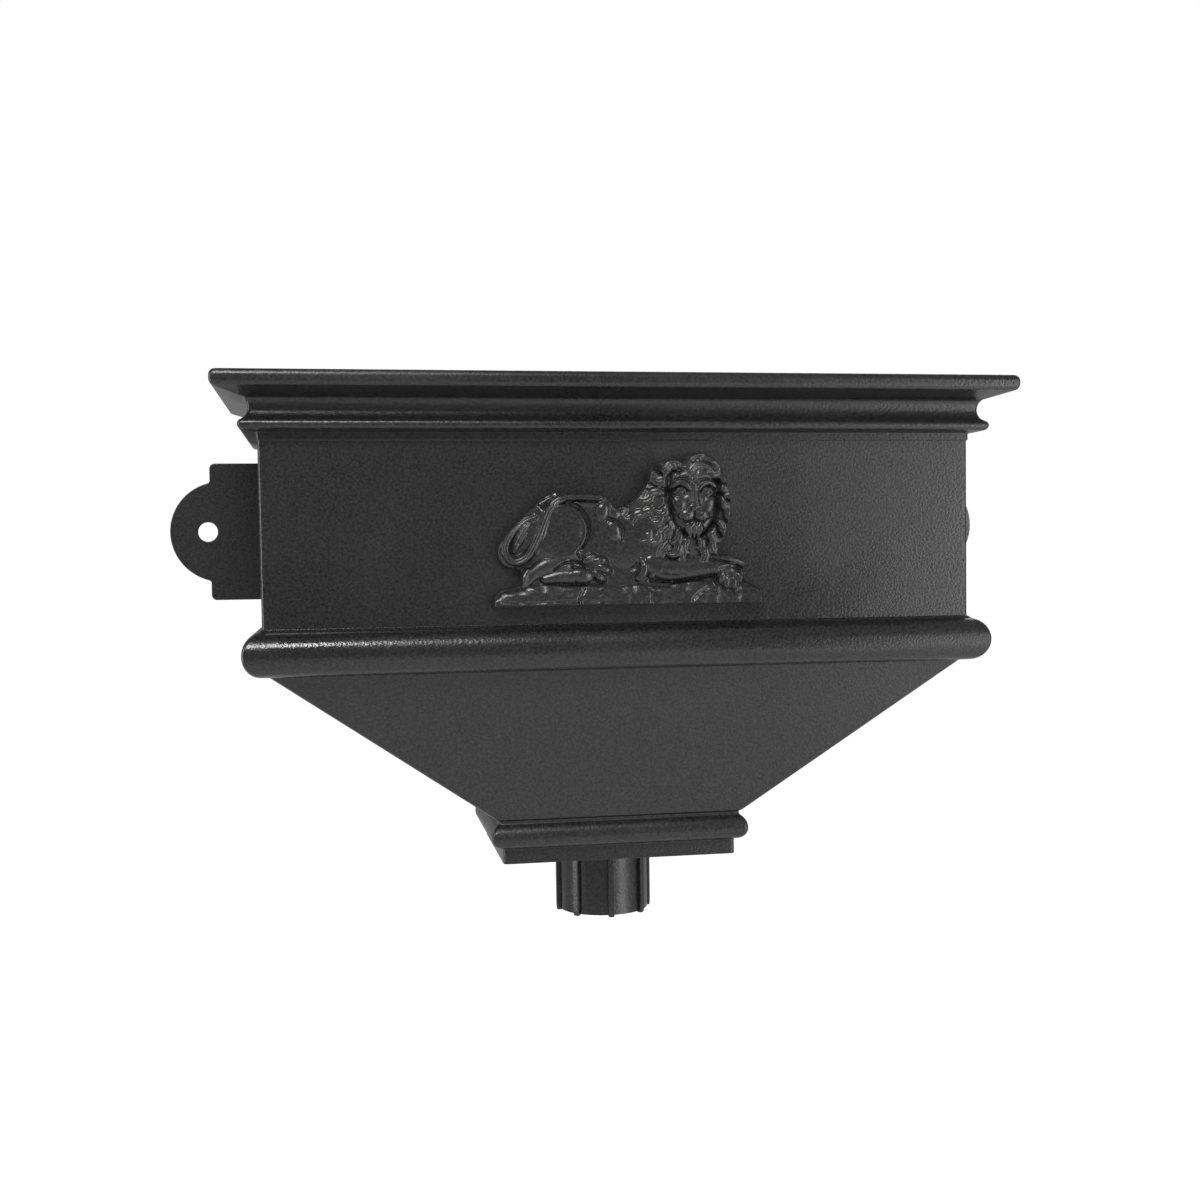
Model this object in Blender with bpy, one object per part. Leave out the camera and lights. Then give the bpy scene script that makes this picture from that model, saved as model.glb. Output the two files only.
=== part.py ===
"""Downpipe hopper head: a moulded rainwater box with a cornice, a half-round belt,
a funnel, a collar, a ribbed outlet spigot, two wall lugs and a bonded lion motif.

+Z is up, the wall is the plane Y = 0 and the front looks along -Y. The origin
lies on the wall, midway between the two screw holes.
"""

import math

import bmesh
import bpy
import numpy as np
from mathutils import Matrix, Vector

MM = 0.001

# Box, between the cornice and the belt
BOX_HALF_WIDTH = 217.0 * MM
BOX_DEPTH = 145.0 * MM
WALL = 3.5 * MM
CORNER_RADIUS = 2.5 * MM
CORNER_STEPS = 3
SIDE_DRAFT = 0.8 * MM

# Heights, chained down from the rim; the screw holes are at zero
RIM_Z = 88.0 * MM
FIELD_HEIGHT = 109.8 * MM
FUNNEL_HEIGHT = 94.5 * MM
COLLAR_HEIGHT = 28.5 * MM

# Cornice: reach out from the wall, and drop from the rim
NOSE_REACH = 24.7 * MM
NOSE_HEIGHT = 9.6 * MM
NOSE_RADIUS = 3.0 * MM
SOFFIT_DROP = 13.4 * MM
SCOTIA_REACH = 5.0 * MM
SCOTIA_WIDTH = 4.2 * MM
SCOTIA_HEIGHT = 13.2 * MM
BEAD_RADIUS = 3.2 * MM
BEAD_REACH = 10.6 * MM
QUIRK_REACH = 0.8 * MM
QUIRK_HEIGHT = 4.4 * MM
RIM_LIP = 4.5 * MM

# Half-round belt and the small step over it
BELT_REACH = 11.5 * MM
BELT_SPRING = 1.0 * MM
BELT_HALF_HEIGHT = 13.0 * MM
STEP_REACH = 1.5 * MM
STEP_HEIGHT = 1.6 * MM
FUNNEL_SETBACK = 3.5 * MM
UNDERSIDE_FALL = 0.5 * MM

# Collar under the funnel
NECK_HALF_WIDTH = 78.0 * MM
NECK_DEPTH = 110.0 * MM
ARRIS = 0.9 * MM
COVE_RADIUS = 1.9 * MM
COLLAR_BEAD_REACH = 4.0 * MM
COLLAR_BEAD_WIDTH = 6.6 * MM
COLLAR_BEAD_RISE = 8.4 * MM
COLLAR_BEAD_FALL = 7.2 * MM
BAND_SETBACK = 3.6 * MM
COLLAR_FLOOR = 4.0 * MM

# Outlet spigot
SPIGOT_RADIUS = 29.6 * MM
SPIGOT_WALL = 2.8 * MM
SPIGOT_LENGTH = 44.5 * MM
SPIGOT_TO_WALL = 40.0 * MM
SPIGOT_STEPS = 64
RIB_COUNT = 8
RIB_WIDTH = 4.2 * MM
RIB_HEIGHT = 2.4 * MM
RIB_OVERHANG = 1.0 * MM

# Wall lugs: reach out from the box side
LUG_THICKNESS = 5.0 * MM
LUG_HEIGHT = 91.0 * MM
LUG_TAB = 38.8 * MM
LUG_EAR_RADIUS = 33.5 * MM
LUG_EAR_OFFSET = 31.3 * MM
LUG_CORNER = 3.5 * MM
LUG_FILLET = 2.0 * MM
HOLE_OFFSET = 40.5 * MM
HOLE_DIAMETER = 13.0 * MM

# Lion motif, bonded to the plain field of the front
MOTIF_MARGIN_BELOW = 11.4 * MM
MOTIF_MARGIN_ABOVE = 6.4 * MM
MOTIF_RELIEF = 14.0 * MM
MOTIF_EDGE = 1.0 * MM
MOTIF_GRID = 1.6 * MM
BOND_GAP = 0.3 * MM

# Width, height and relief of the lion's drawing, in units of its own
LION_DRAWING = (168, 92, 17.7)

ARC_STEPS = 8

# Heights that follow from the sizes above
CORNICE_HEIGHT = SOFFIT_DROP + SCOTIA_HEIGHT + 2 * BEAD_RADIUS + 1.5 * QUIRK_REACH + QUIRK_HEIGHT
FIELD_TOP_Z = RIM_Z - CORNICE_HEIGHT
BELT_TOP_Z = FIELD_TOP_Z - FIELD_HEIGHT
BELT_Z = BELT_TOP_Z - STEP_HEIGHT - BELT_HALF_HEIGHT
BELT_FOOT_Z = BELT_Z - BELT_HALF_HEIGHT - UNDERSIDE_FALL
NECK_Z = BELT_FOOT_Z - FUNNEL_HEIGHT
COLLAR_Z = NECK_Z - COLLAR_HEIGHT
FLOOR_Z = COLLAR_Z + COLLAR_FLOOR
SPIGOT_Z = COLLAR_Z - SPIGOT_LENGTH
MOTIF_SCALE = (FIELD_HEIGHT - MOTIF_MARGIN_BELOW - MOTIF_MARGIN_ABOVE) / LION_DRAWING[1]
MOTIF_FOOT_Z = BELT_TOP_Z + MOTIF_MARGIN_BELOW


def clear_scene():
    for old in list(bpy.data.objects):
        bpy.data.objects.remove(old)


def new_collection(name):
    collection = bpy.data.collections.new(name)
    bpy.context.scene.collection.children.link(collection)
    return collection


def new_material(name, color, roughness):
    material = bpy.data.materials.new(name)
    material.use_nodes = True
    shader = material.node_tree.nodes["Principled BSDF"]
    shader.inputs["Base Color"].default_value = (*color, 1.0)
    shader.inputs["Roughness"].default_value = roughness
    shader.inputs["Metallic"].default_value = 0.0
    return material


def mesh_object(name, bm, collection):
    """An object that holds the finished faces, with all of them pointing out."""
    bmesh.ops.recalc_face_normals(bm, faces=bm.faces)
    mesh = bpy.data.meshes.new(name)
    bm.to_mesh(mesh)
    bm.free()
    made = bpy.data.objects.new(name, mesh)
    collection.objects.link(made)
    return made


def smooth(made, angle):
    made.data.shade_smooth()
    made.data.set_sharp_from_angle(angle=math.radians(angle))


def arc(centre, radii, start, end, steps=ARC_STEPS):
    """Points along an ellipse arc. Angles are in degrees up from the outward direction."""
    angles = np.radians(np.linspace(start, end, steps + 1))
    return [(centre[0] + radii[0] * math.cos(a), centre[1] + radii[1] * math.sin(a)) for a in angles]


def cornice_profile():
    """Reach and height of the cornice, from the rim down to the box wall."""
    side = NOSE_REACH - NOSE_RADIUS
    nose_foot = RIM_Z - NOSE_HEIGHT
    scotia_z = RIM_Z - SOFFIT_DROP - SCOTIA_HEIGHT / 2
    scotia_centre = (SCOTIA_REACH + SCOTIA_WIDTH, scotia_z)
    bead_z = RIM_Z - SOFFIT_DROP - SCOTIA_HEIGHT - BEAD_RADIUS
    bead_centre = (BEAD_REACH - BEAD_RADIUS, bead_z)
    quirk_z = bead_z - BEAD_RADIUS - QUIRK_REACH
    points = arc((side, RIM_Z - NOSE_RADIUS), (NOSE_RADIUS, NOSE_RADIUS), 90, 0, 4)
    points += arc((side, nose_foot + NOSE_RADIUS), (NOSE_RADIUS, NOSE_RADIUS), 0, -70, 4)
    points += arc(scotia_centre, (SCOTIA_WIDTH, SCOTIA_HEIGHT / 2), 100, 250, ARC_STEPS)
    points += arc(bead_centre, (BEAD_RADIUS, BEAD_RADIUS), 60, -90, ARC_STEPS)
    points += [(QUIRK_REACH, quirk_z), (QUIRK_REACH, quirk_z - QUIRK_HEIGHT)]
    points += [(0.0, FIELD_TOP_Z)]
    return points


def belt_profile():
    """Reach and height of the small step and the half-round, from the top down."""
    radii = (BELT_REACH - BELT_SPRING, BELT_HALF_HEIGHT)
    points = [(0.0, BELT_TOP_Z), (STEP_REACH * 0.7, BELT_TOP_Z - STEP_HEIGHT * 0.2)]
    points += [(STEP_REACH, BELT_TOP_Z - STEP_HEIGHT * 0.6)]
    points += arc((BELT_SPRING, BELT_Z), radii, 80, -90, 2 * ARC_STEPS)
    return points


def collar_profile():
    """Reach and height of the collar, from the funnel's lower edge down to its band."""
    cove_centre = (COVE_RADIUS - ARRIS, NECK_Z - COVE_RADIUS)
    bead_centre = (COLLAR_BEAD_REACH - COLLAR_BEAD_WIDTH, NECK_Z - 2 * COVE_RADIUS - COLLAR_BEAD_RISE * 0.9)
    points = [(ARRIS, NECK_Z)]
    points += arc(cove_centre, (COVE_RADIUS, COVE_RADIUS), 135, 225, 4)
    points += arc(bead_centre, (COLLAR_BEAD_WIDTH, COLLAR_BEAD_RISE), 62, 0, ARC_STEPS)
    points += arc(bead_centre, (COLLAR_BEAD_WIDTH, COLLAR_BEAD_FALL), 0, -88, ARC_STEPS)[1:]
    points += [(-BAND_SETBACK, points[-1][1] - UNDERSIDE_FALL), (-BAND_SETBACK, COLLAR_Z)]
    return points


def box_section(reach, z):
    """Half width and depth of the box at a height, with the sides' slight draft."""
    lean = SIDE_DRAFT * (z - BELT_Z) / (RIM_Z - BELT_Z)
    return (BOX_HALF_WIDTH + reach + lean, BOX_DEPTH + reach, z)


def neck_section(reach, z):
    return (NECK_HALF_WIDTH + reach, NECK_DEPTH + reach, z)


def inset_section(section, run_side, run_front, height):
    """A section moved in by the wall's width across two slopes of the given runs."""
    side = WALL * math.hypot(run_side, height) / height
    front = WALL * math.hypot(run_front, height) / height
    return (section[0] - side, section[1] - front, section[2])


def outline(section, back):
    """A rectangle against the wall whose two front corners are rounded."""
    half_width, depth, z = section
    points = [Vector((-half_width, back, z))]
    for sign, turn in ((-1, 180), (1, 270)):
        for step in range(CORNER_STEPS + 1):
            angle = math.radians(turn + 90 * step / CORNER_STEPS)
            x = sign * (half_width - CORNER_RADIUS) + CORNER_RADIUS * math.cos(angle)
            y = CORNER_RADIUS - depth + CORNER_RADIUS * math.sin(angle)
            points.append(Vector((x, y, z)))
    points.append(Vector((half_width, back, z)))
    return points


def loft(loops):
    """Skin from loop to loop, closed over the first and the last."""
    bm = bmesh.new()
    rings = [[bm.verts.new(point) for point in loop] for loop in loops]
    for lower, upper in zip(rings, rings[1:]):
        for i, vertex in enumerate(lower):
            j = (i + 1) % len(lower)
            bm.faces.new((vertex, lower[j], upper[j], upper[i]))
    bm.faces.new(rings[0])
    bm.faces.new(rings[-1])
    return bm


def make_shell(collection):
    """The one moulding: outer skin from the collar up to the rim, inner skin back down."""
    belt_foot = box_section(-FUNNEL_SETBACK, BELT_FOOT_Z)
    neck_edge = neck_section(ARRIS, NECK_Z)
    outer = [neck_section(*point) for point in reversed(collar_profile())]
    outer += [belt_foot]
    outer += [box_section(*point) for point in reversed(belt_profile())]
    outer += [box_section(*point) for point in reversed(cornice_profile())]

    height = belt_foot[2] - neck_edge[2]
    run_side = belt_foot[0] - neck_edge[0]
    run_front = belt_foot[1] - neck_edge[1]
    lip = NOSE_REACH - RIM_LIP
    hollow = BELT_REACH - WALL
    shelf_z = RIM_Z - NOSE_HEIGHT + WALL
    throat_z = RIM_Z - SOFFIT_DROP - WALL
    hollow_half = BELT_HALF_HEIGHT * 0.45
    band_floor = -BAND_SETBACK - WALL
    inner = [box_section(lip, RIM_Z), box_section(lip, shelf_z)]
    inner += [box_section(SCOTIA_REACH - WALL, shelf_z - WALL), box_section(-WALL, throat_z)]
    inner += [box_section(-WALL, BELT_Z + BELT_HALF_HEIGHT)]
    inner += [box_section(hollow, BELT_Z + hollow_half), box_section(hollow, BELT_Z - hollow_half)]
    inner += [inset_section(belt_foot, run_side, run_front, height)]
    inner += [inset_section(neck_edge, run_side, run_front, height)]
    inner += [neck_section(band_floor, NECK_Z - COLLAR_BEAD_RISE), neck_section(band_floor, FLOOR_Z)]

    loops = [outline(section, 0.0) for section in outer]
    loops += [outline(section, -WALL) for section in inner]
    return mesh_object("hopper_head", loft(loops), collection)


def make_spigot(collection):
    """A plain round stub that starts inside the collar's floor."""
    bm = bmesh.new()
    top = FLOOR_Z - COLLAR_FLOOR / 2
    bmesh.ops.create_cone(bm, cap_ends=True, segments=SPIGOT_STEPS, radius1=SPIGOT_RADIUS,
                          radius2=SPIGOT_RADIUS, depth=top - SPIGOT_Z)
    bmesh.ops.translate(bm, verts=bm.verts, vec=(0, -SPIGOT_TO_WALL, (top + SPIGOT_Z) / 2))
    return mesh_object("spigot_stub", bm, collection)


def make_ribs(collection):
    """Ribs that centre the stub in its pipe, evenly spaced with one at the front."""
    bm = bmesh.new()
    inner = SPIGOT_RADIUS - SPIGOT_WALL / 2
    outer = SPIGOT_RADIUS + RIB_HEIGHT
    top = FLOOR_Z - COLLAR_FLOOR / 2
    foot = SPIGOT_Z - RIB_OVERHANG
    size = Matrix.Diagonal((RIB_WIDTH, outer - inner, top - foot, 1))
    place = Matrix.Translation((0, -(inner + outer) / 2, (top + foot) / 2))
    axis = Matrix.Translation((0, -SPIGOT_TO_WALL, 0))
    for index in range(RIB_COUNT):
        turn = Matrix.Rotation(math.tau * index / RIB_COUNT, 4, "Z")
        bmesh.ops.create_cube(bm, size=1, matrix=axis @ turn @ place @ size)
    return mesh_object("spigot_ribs", bm, collection)


def make_bore(collection):
    """The pipe-way, cut through the collar's floor and out of the stub."""
    bm = bmesh.new()
    top = FLOOR_Z + COLLAR_FLOOR
    foot = SPIGOT_Z - 2 * RIB_OVERHANG - SPIGOT_WALL
    radius = SPIGOT_RADIUS - SPIGOT_WALL
    bmesh.ops.create_cone(bm, cap_ends=True, segments=SPIGOT_STEPS, radius1=radius,
                          radius2=radius, depth=top - foot)
    bmesh.ops.translate(bm, verts=bm.verts, vec=(0, -SPIGOT_TO_WALL, (top + foot) / 2))
    return mesh_object("bore_cutter", bm, collection)


def lug_outline():
    """Half of the lug's edge from the box to the ear's tip, as reach and height."""
    half = LUG_HEIGHT / 2
    ear_run = LUG_TAB + LUG_FILLET - LUG_EAR_OFFSET
    fillet_z = math.sqrt((LUG_EAR_RADIUS + LUG_FILLET) ** 2 - ear_run ** 2)
    meet = math.degrees(math.atan2(fillet_z, ear_run))
    corner_centre = (LUG_TAB - LUG_CORNER, half - LUG_CORNER)
    points = [(-WALL / 2, half)]
    points += arc(corner_centre, (LUG_CORNER, LUG_CORNER), 90, 0, 4)
    points += arc((LUG_TAB + LUG_FILLET, fillet_z), (LUG_FILLET, LUG_FILLET), 180, 180 + meet, 4)
    points += arc((LUG_EAR_OFFSET, 0), (LUG_EAR_RADIUS, LUG_EAR_RADIUS), meet, 0, 2 * ARC_STEPS)[1:]
    return points


def make_lug(collection, side):
    """One flat ear: its outline filled and given its thickness, flush with the back."""
    upper = lug_outline()
    lower = [(reach, -z) for reach, z in reversed(upper[:-1])]
    curve = bpy.data.curves.new("lug_outline", "CURVE")
    curve.dimensions = "2D"
    curve.fill_mode = "BOTH"
    curve.extrude = LUG_THICKNESS / 2
    spline = curve.splines.new("POLY")
    points = upper + lower
    spline.points.add(len(points) - 1)
    for point, (reach, z) in zip(spline.points, points):
        point.co = (side * (BOX_HALF_WIDTH + reach), z, 0, 1)
    spline.use_cyclic_u = True
    drawn = bpy.data.objects.new("lug_outline", curve)
    collection.objects.link(drawn)
    drawn.rotation_euler = (math.radians(90), 0, 0)
    drawn.location = (0, -LUG_THICKNESS / 2, 0)
    bpy.context.view_layer.update()
    evaluated = drawn.evaluated_get(bpy.context.evaluated_depsgraph_get())
    bm = bmesh.new()
    bm.from_mesh(bpy.data.meshes.new_from_object(evaluated))
    bmesh.ops.remove_doubles(bm, verts=bm.verts, dist=0.00001)
    bmesh.ops.transform(bm, matrix=drawn.matrix_world, verts=bm.verts)
    bpy.data.objects.remove(drawn)
    return mesh_object("lug_left" if side < 0 else "lug_right", bm, collection)


def make_screw_holes(collection):
    """Two drills through the lugs, one on either side."""
    bm = bmesh.new()
    for side in (-1, 1):
        place = Matrix.Translation((side * (BOX_HALF_WIDTH + HOLE_OFFSET), -LUG_THICKNESS / 2, 0))
        turn = Matrix.Rotation(math.radians(90), 4, "X")
        bmesh.ops.create_cone(bm, cap_ends=True, segments=32, radius1=HOLE_DIAMETER / 2,
                              radius2=HOLE_DIAMETER / 2, depth=3 * LUG_THICKNESS, matrix=place @ turn)
    return mesh_object("hole_cutter", bm, collection)


def combine(target, tool, operation):
    """A Boolean that stays live on the target, with its tool shown as wire."""
    modifier = target.modifiers.new(tool.name, "BOOLEAN")
    modifier.operation = operation
    modifier.object = tool
    tool.hide_render = True
    tool.display_type = "WIRE"


def make_hopper(parts, cutters, material):
    shell = make_shell(parts)
    for blank in (make_spigot(cutters), make_ribs(cutters), make_lug(cutters, -1), make_lug(cutters, 1)):
        combine(shell, blank, "UNION")
    for drill in (make_bore(cutters), make_screw_holes(cutters)):
        combine(shell, drill, "DIFFERENCE")
    shell.data.materials.append(material)
    smooth(shell, 35)
    return shell


def through(points, steps=6):
    """A smooth line through points: cubics whose slopes come from the neighbouring points."""
    p = np.array(points, float)
    p = np.vstack([2 * p[0] - p[1], p, 2 * p[-1] - p[-2]])
    t = (np.arange(steps) / steps)[None, :, None]
    a, b, c, d = (p[k:len(p) - 3 + k][:, None, :] for k in range(4))
    line = b + 0.5 * ((c - a) * t + (2 * a - 5 * b + 4 * c - d) * t ** 2 + (3 * b - a - 3 * c + d) * t ** 3)
    return np.vstack([line.reshape(-1, 2), p[-2:-1]])


def from_line(u, v, line):
    """Distance to a broken line, and the share of it passed: the nearest of all its stretches."""
    near = np.full(np.shape(u), np.inf)
    along = np.zeros(np.shape(u))
    for index, (a, run) in enumerate(zip(line, np.diff(line, axis=0))):
        t = np.clip(((u - a[0]) * run[0] + (v - a[1]) * run[1]) / (run @ run), 0, 1)
        distance = np.hypot(u - a[0] - t * run[0], v - a[1] - t * run[1])
        along = np.where(distance < near, (index + t) / (len(line) - 1), along)
        near = np.minimum(near, distance)
    return near, along


def by_line(u, v, line, margin):
    """The points within a margin of a line's frame, with their distance and share of the line."""
    low, high = line.min(axis=0) - margin, line.max(axis=0) + margin
    here = (u > low[0]) & (u < high[0]) & (v > low[1]) & (v < high[1])
    near, along = from_line(u[here], v[here], line)
    return here, near, along


def crowned(share, crest, rise):
    """A round back: its crest less the rise times one minus the root of one minus share squared."""
    return crest - rise * (1 - np.sqrt(np.maximum(1 - share ** 2, 0)))


def dome(u, v, centre, radii, crest, rise, turn=0.0):
    """A crowned egg on the sheet, falling off steeply outside its own edge."""
    cos_turn, sin_turn = math.cos(math.radians(turn)), math.sin(math.radians(turn))
    along = (cos_turn * (u - centre[0]) + sin_turn * (v - centre[1])) / radii[0]
    across = (cos_turn * (v - centre[1]) - sin_turn * (u - centre[0])) / radii[1]
    share = np.hypot(along, across)
    return crowned(np.minimum(share, 1), crest, rise) - np.maximum(share - 1, 0) * min(radii) * 3


def rope(u, v, points, radii, crests, rise=None):
    """A crowned bar along a smooth line, its radius and crest read off evenly along it."""
    line = through(points)
    widest = max(radii)
    here, near, along = by_line(u, v, line, widest + 2)
    knots = np.linspace(0, 1, len(radii))
    radius = np.interp(along, knots, radii)
    crest = np.interp(along, np.linspace(0, 1, len(crests)), crests)
    depth = radius if rise is None else rise
    height = np.full(np.shape(u), -30.0)
    height[here] = crowned(np.minimum(near / radius, 1), crest, depth) - np.maximum(near - radius, 0) * 3
    return height


def groove(u, v, points, width, depth):
    """A cut along a smooth line: its depth times a bell of the distance over the width."""
    here, near, _ = by_line(u, v, through(points), 3 * width)
    cut = np.zeros(np.shape(u))
    cut[here] = depth * np.exp(-(near / width) ** 2)
    return cut


def join(a, b, fillet):
    """The higher of two heights, with a fillet where they meet."""
    blend = 0.5 * (a + b + np.sqrt((a - b) ** 2 + fillet ** 2))
    return blend - 0.25 * fillet * np.exp(-((a - b) / fillet) ** 2)


def within(u, v, corners):
    """Whether points lie inside a closed line, by counting the sides that pass to their right."""
    inside = np.zeros(np.shape(u), bool)
    for a, b in zip(corners, np.roll(corners, -1, axis=0)):
        if a[1] != b[1]:
            crosses = ((a[1] > v) != (b[1] > v)) & (u < (b[0] - a[0]) * (v - a[1]) / (b[1] - a[1]) + a[0])
            inside ^= crosses
    return inside


def lion_edge():
    """The lion's outline from heel to paw, over the tail, the back and the mane."""
    points = [(-67, 8), (-66, 20), (-69, 22), (-75, 23), (-79.3, 28)]
    points += [(-79.4, 35), (-75.5, 41.5), (-67, 50.3), (-55, 61.3)]
    points += [(-48, 66.2), (-42, 67.8), (-30, 66.9), (-18, 66.6)]
    points += [(-12.5, 63), (-9, 57.8), (0, 60.3), (5.5, 66), (10, 72)]
    points += [(11.5, 79), (16, 83.2), (22, 86), (28, 86.8), (32.5, 84.8)]
    points += [(36, 88.6), (42, 90.8), (48, 90), (53, 86.5)]
    points += [(57, 79.5), (60, 71), (62, 61), (61, 50.5), (58.5, 42)]
    points += [(55, 35), (53.5, 29.5), (61, 29), (68.5, 26.6), (70.6, 22)]
    points += [(69, 15), (66, 6)]
    return through(points, 3)


def edge_wall(u, v):
    """How high the carving may stand: the root of the distance in from the lion's outline."""
    line = lion_edge()
    near, _ = from_line(u, v, np.vstack([line, line[:1]]))
    return np.where(within(u, v, line), 12, -12) * np.sqrt(near)


def ledge(u, v):
    """The rock that the lion lies on: an uneven rounded top edge, sloped ends and a few cracks."""
    stations = [-84, -78, -66, -50, 20, 45, 70, 80, 82.5]
    edge = np.interp(u, stations, [3, 8.5, 12.5, 14, 13, 16, 14, 9.5, 0.5])
    edge = edge + 0.5 * np.sin(0.55 * u) + 0.35 * np.sin(1.31 * u + 1)
    rise = np.clip(v / np.maximum(edge, 0.1), 0, 1)
    body = 8.5 * np.sqrt(np.maximum(1 - rise ** 3, 0))
    swell = np.sin(0.31 * u + 0.5 * v + 1.5 * np.sin(0.11 * u))
    swell = swell * np.sin(0.13 * u - 0.6 * v + np.sin(0.37 * u))
    body = body + 0.5 * swell + 0.22 * np.sin(0.83 * u + 0.35 * v + 1.3 * np.sin(0.29 * u))
    ends = 4 * np.minimum(u + 84, 82.5 - u)
    height = np.minimum(np.minimum(body, ends), np.where(v > edge, 3 * (edge - v), body))
    cracks = ([(-31, 0), (-31.5, 4), (-29, 9)], [(13, 1), (13, 6), (11, 9)], [(38, 2), (42, 6), (47, 9)])
    for crack in cracks:
        height = height - groove(u, v, crack, 0.9, 1.2)
    return height


def trunk(u, v):
    """Rump, belly and breast run together over a low sheet, and the folds of the flank."""
    sheet = [(-56, 36), (-30, 40), (0, 40), (30, 44), (40, 40)]
    height = rope(u, v, sheet, [30, 31, 32, 36, 30], [4.6, 5.0, 5.6, 6, 6], 1.5)
    path = [(-34, 42), (-10, 39), (14, 42)]
    height = join(height, rope(u, v, path, [20, 17, 22], [7.6, 7.2, 9.6], 4.5), 2)
    height = join(height, dome(u, v, (16, 50), (18, 26), 10.6, 5, -14), 3)
    path = [(-44, 63.2), (-30, 62.4), (-17, 61.6), (-9.5, 54)]
    height = join(height, rope(u, v, path, [4.6, 4.6], [7.6, 7.4], 3.4), 1.5)
    height = join(height, dome(u, v, (-16.8, 56), (4.6, 6.6), 9.6, 3.6, -12), 1)
    height = join(height, dome(u, v, (-10.2, 44.2), (4.8, 6.6), 9.4, 3.2, 18), 1)
    height = height - groove(u, v, [(-13.5, 51.5), (-8, 49.4), (-4.6, 45), (-5, 39)], 0.9, 1.5)
    return height - groove(u, v, [(-13, 24), (-6, 21.4), (1, 21), (4, 24)], 1.2, 1.3)


def hind_leg(u, v, height):
    """The haunch, a flat oval with a raised edge, then the hock, the near foot and the far paw."""
    share = np.hypot((u + 41.8) / (15.9 - 0.06 * (v - 44.8)), (v - 44.8) / 16)
    haunch = crowned(np.minimum(share, 1) ** 2.5, 10.4, 3.8) - np.maximum(share - 1, 0) * 40
    haunch = haunch + 0.9 * np.exp(-((share - 0.9) / 0.07) ** 2) * np.clip((u + 50) / 9, 0, 1)
    height = np.maximum(height, haunch)
    path = [(-43, 61.6), (-34, 60), (-27.5, 54.6), (-24.9, 46), (-27, 37.5), (-32.6, 31)]
    height = height - groove(u, v, path, 0.8, 2)
    path = [(-64, 13), (-59, 18.6), (-51, 23.4), (-40, 24.4)]
    hock = rope(u, v, path, [2.4, 4, 5.6, 5.6], [8.6, 10, 10.8, 10.4])
    height = join(height, hock, 0.8)
    path = [(-47, 20.8), (-42, 24.4), (-36, 25.8), (-31, 24.8), (-26.4, 21.4)]
    height = height - groove(u, v, path, 0.8, 2.2)
    path = [(-52, 15.6), (-44, 17), (-36, 17.4)]
    height = join(height, rope(u, v, path, [2.6, 4, 4.4], [8.4, 9.6, 10.4]), 0.6)
    height = join(height, dome(u, v, (-30.2, 17.6), (7.6, 4.8), 11.4, 4.4, -6), 0.5)
    height = join(height, dome(u, v, (-20.6, 22.6), (7.8, 6.8), 9.6, 3.4, -20), 0.6)
    for toe, turn in (((-25.6, 27.4), 35), ((-19.4, 26.2), 5), ((-17.0, 21.6), -25), ((-20.0, 17.4), -40)):
        height = join(height, dome(u, v, toe, (4.6, 2.5), 11.2, 2.5, turn), 0.4)
    path = [(-66, 12), (-64.6, 16), (-62.4, 20.4)]
    return join(height, rope(u, v, path, [1.8, 2.5, 1.6], [9, 10.4, 9]), 0.5)


def tail(u, v, height):
    """The tail along the back, down the rump and round in a loop, with its brush inside."""
    line = [(-18, 63.6), (-28, 64.3), (-38, 64), (-45, 61.6)]
    line += [(-50, 55.5), (-54, 46), (-58.4, 36), (-62.6, 29.4)]
    line += [(-68.8, 26.2), (-74, 28.6), (-75.6, 34.5)]
    line += [(-72.6, 41.6), (-68, 47.2), (-62.6, 51.4), (-57, 53.4)]
    rim = [(-43, 66.2), (-55, 59.4), (-67, 48.4), (-76, 39)]
    rim += [(-78.4, 33), (-77.6, 27.6), (-73.6, 24.4), (-68, 23.6)]
    height = join(height, rope(u, v, rim, [1.1, 1.3, 1.5, 1.5, 1], [5.6, 6.2, 6.8, 6.6, 6]), 0.3)
    brush = [(-58.6, 52), (-63, 46.6), (-67.4, 39.6), (-70.4, 32.2)]
    height = join(height, rope(u, v, brush, [1.6, 3.6, 3.9, 1.2], [7.4, 8.6, 8.8, 7]), 0.4)
    height = height - groove(u, v, line, 3.5, 1.0)
    crests = [8.6, 10.6, 11.2, 9.6, 8.8, 8]
    height = np.maximum(height, rope(u, v, line, [1.9, 2.4, 2.4, 2.3, 2.1, 1.5], crests))
    second = [(-50.4, 50), (-52.6, 43), (-54.6, 36.8), (-57.4, 30.6)]
    height = join(height, rope(u, v, second, [1.0, 1.5, 1.5, 0.9], [10.6, 10.6, 10, 9]), 0.3)
    return height - groove(u, v, [(-39, 61.9), (-30, 61.9), (-20, 61.2)], 0.6, 1.8)


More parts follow.
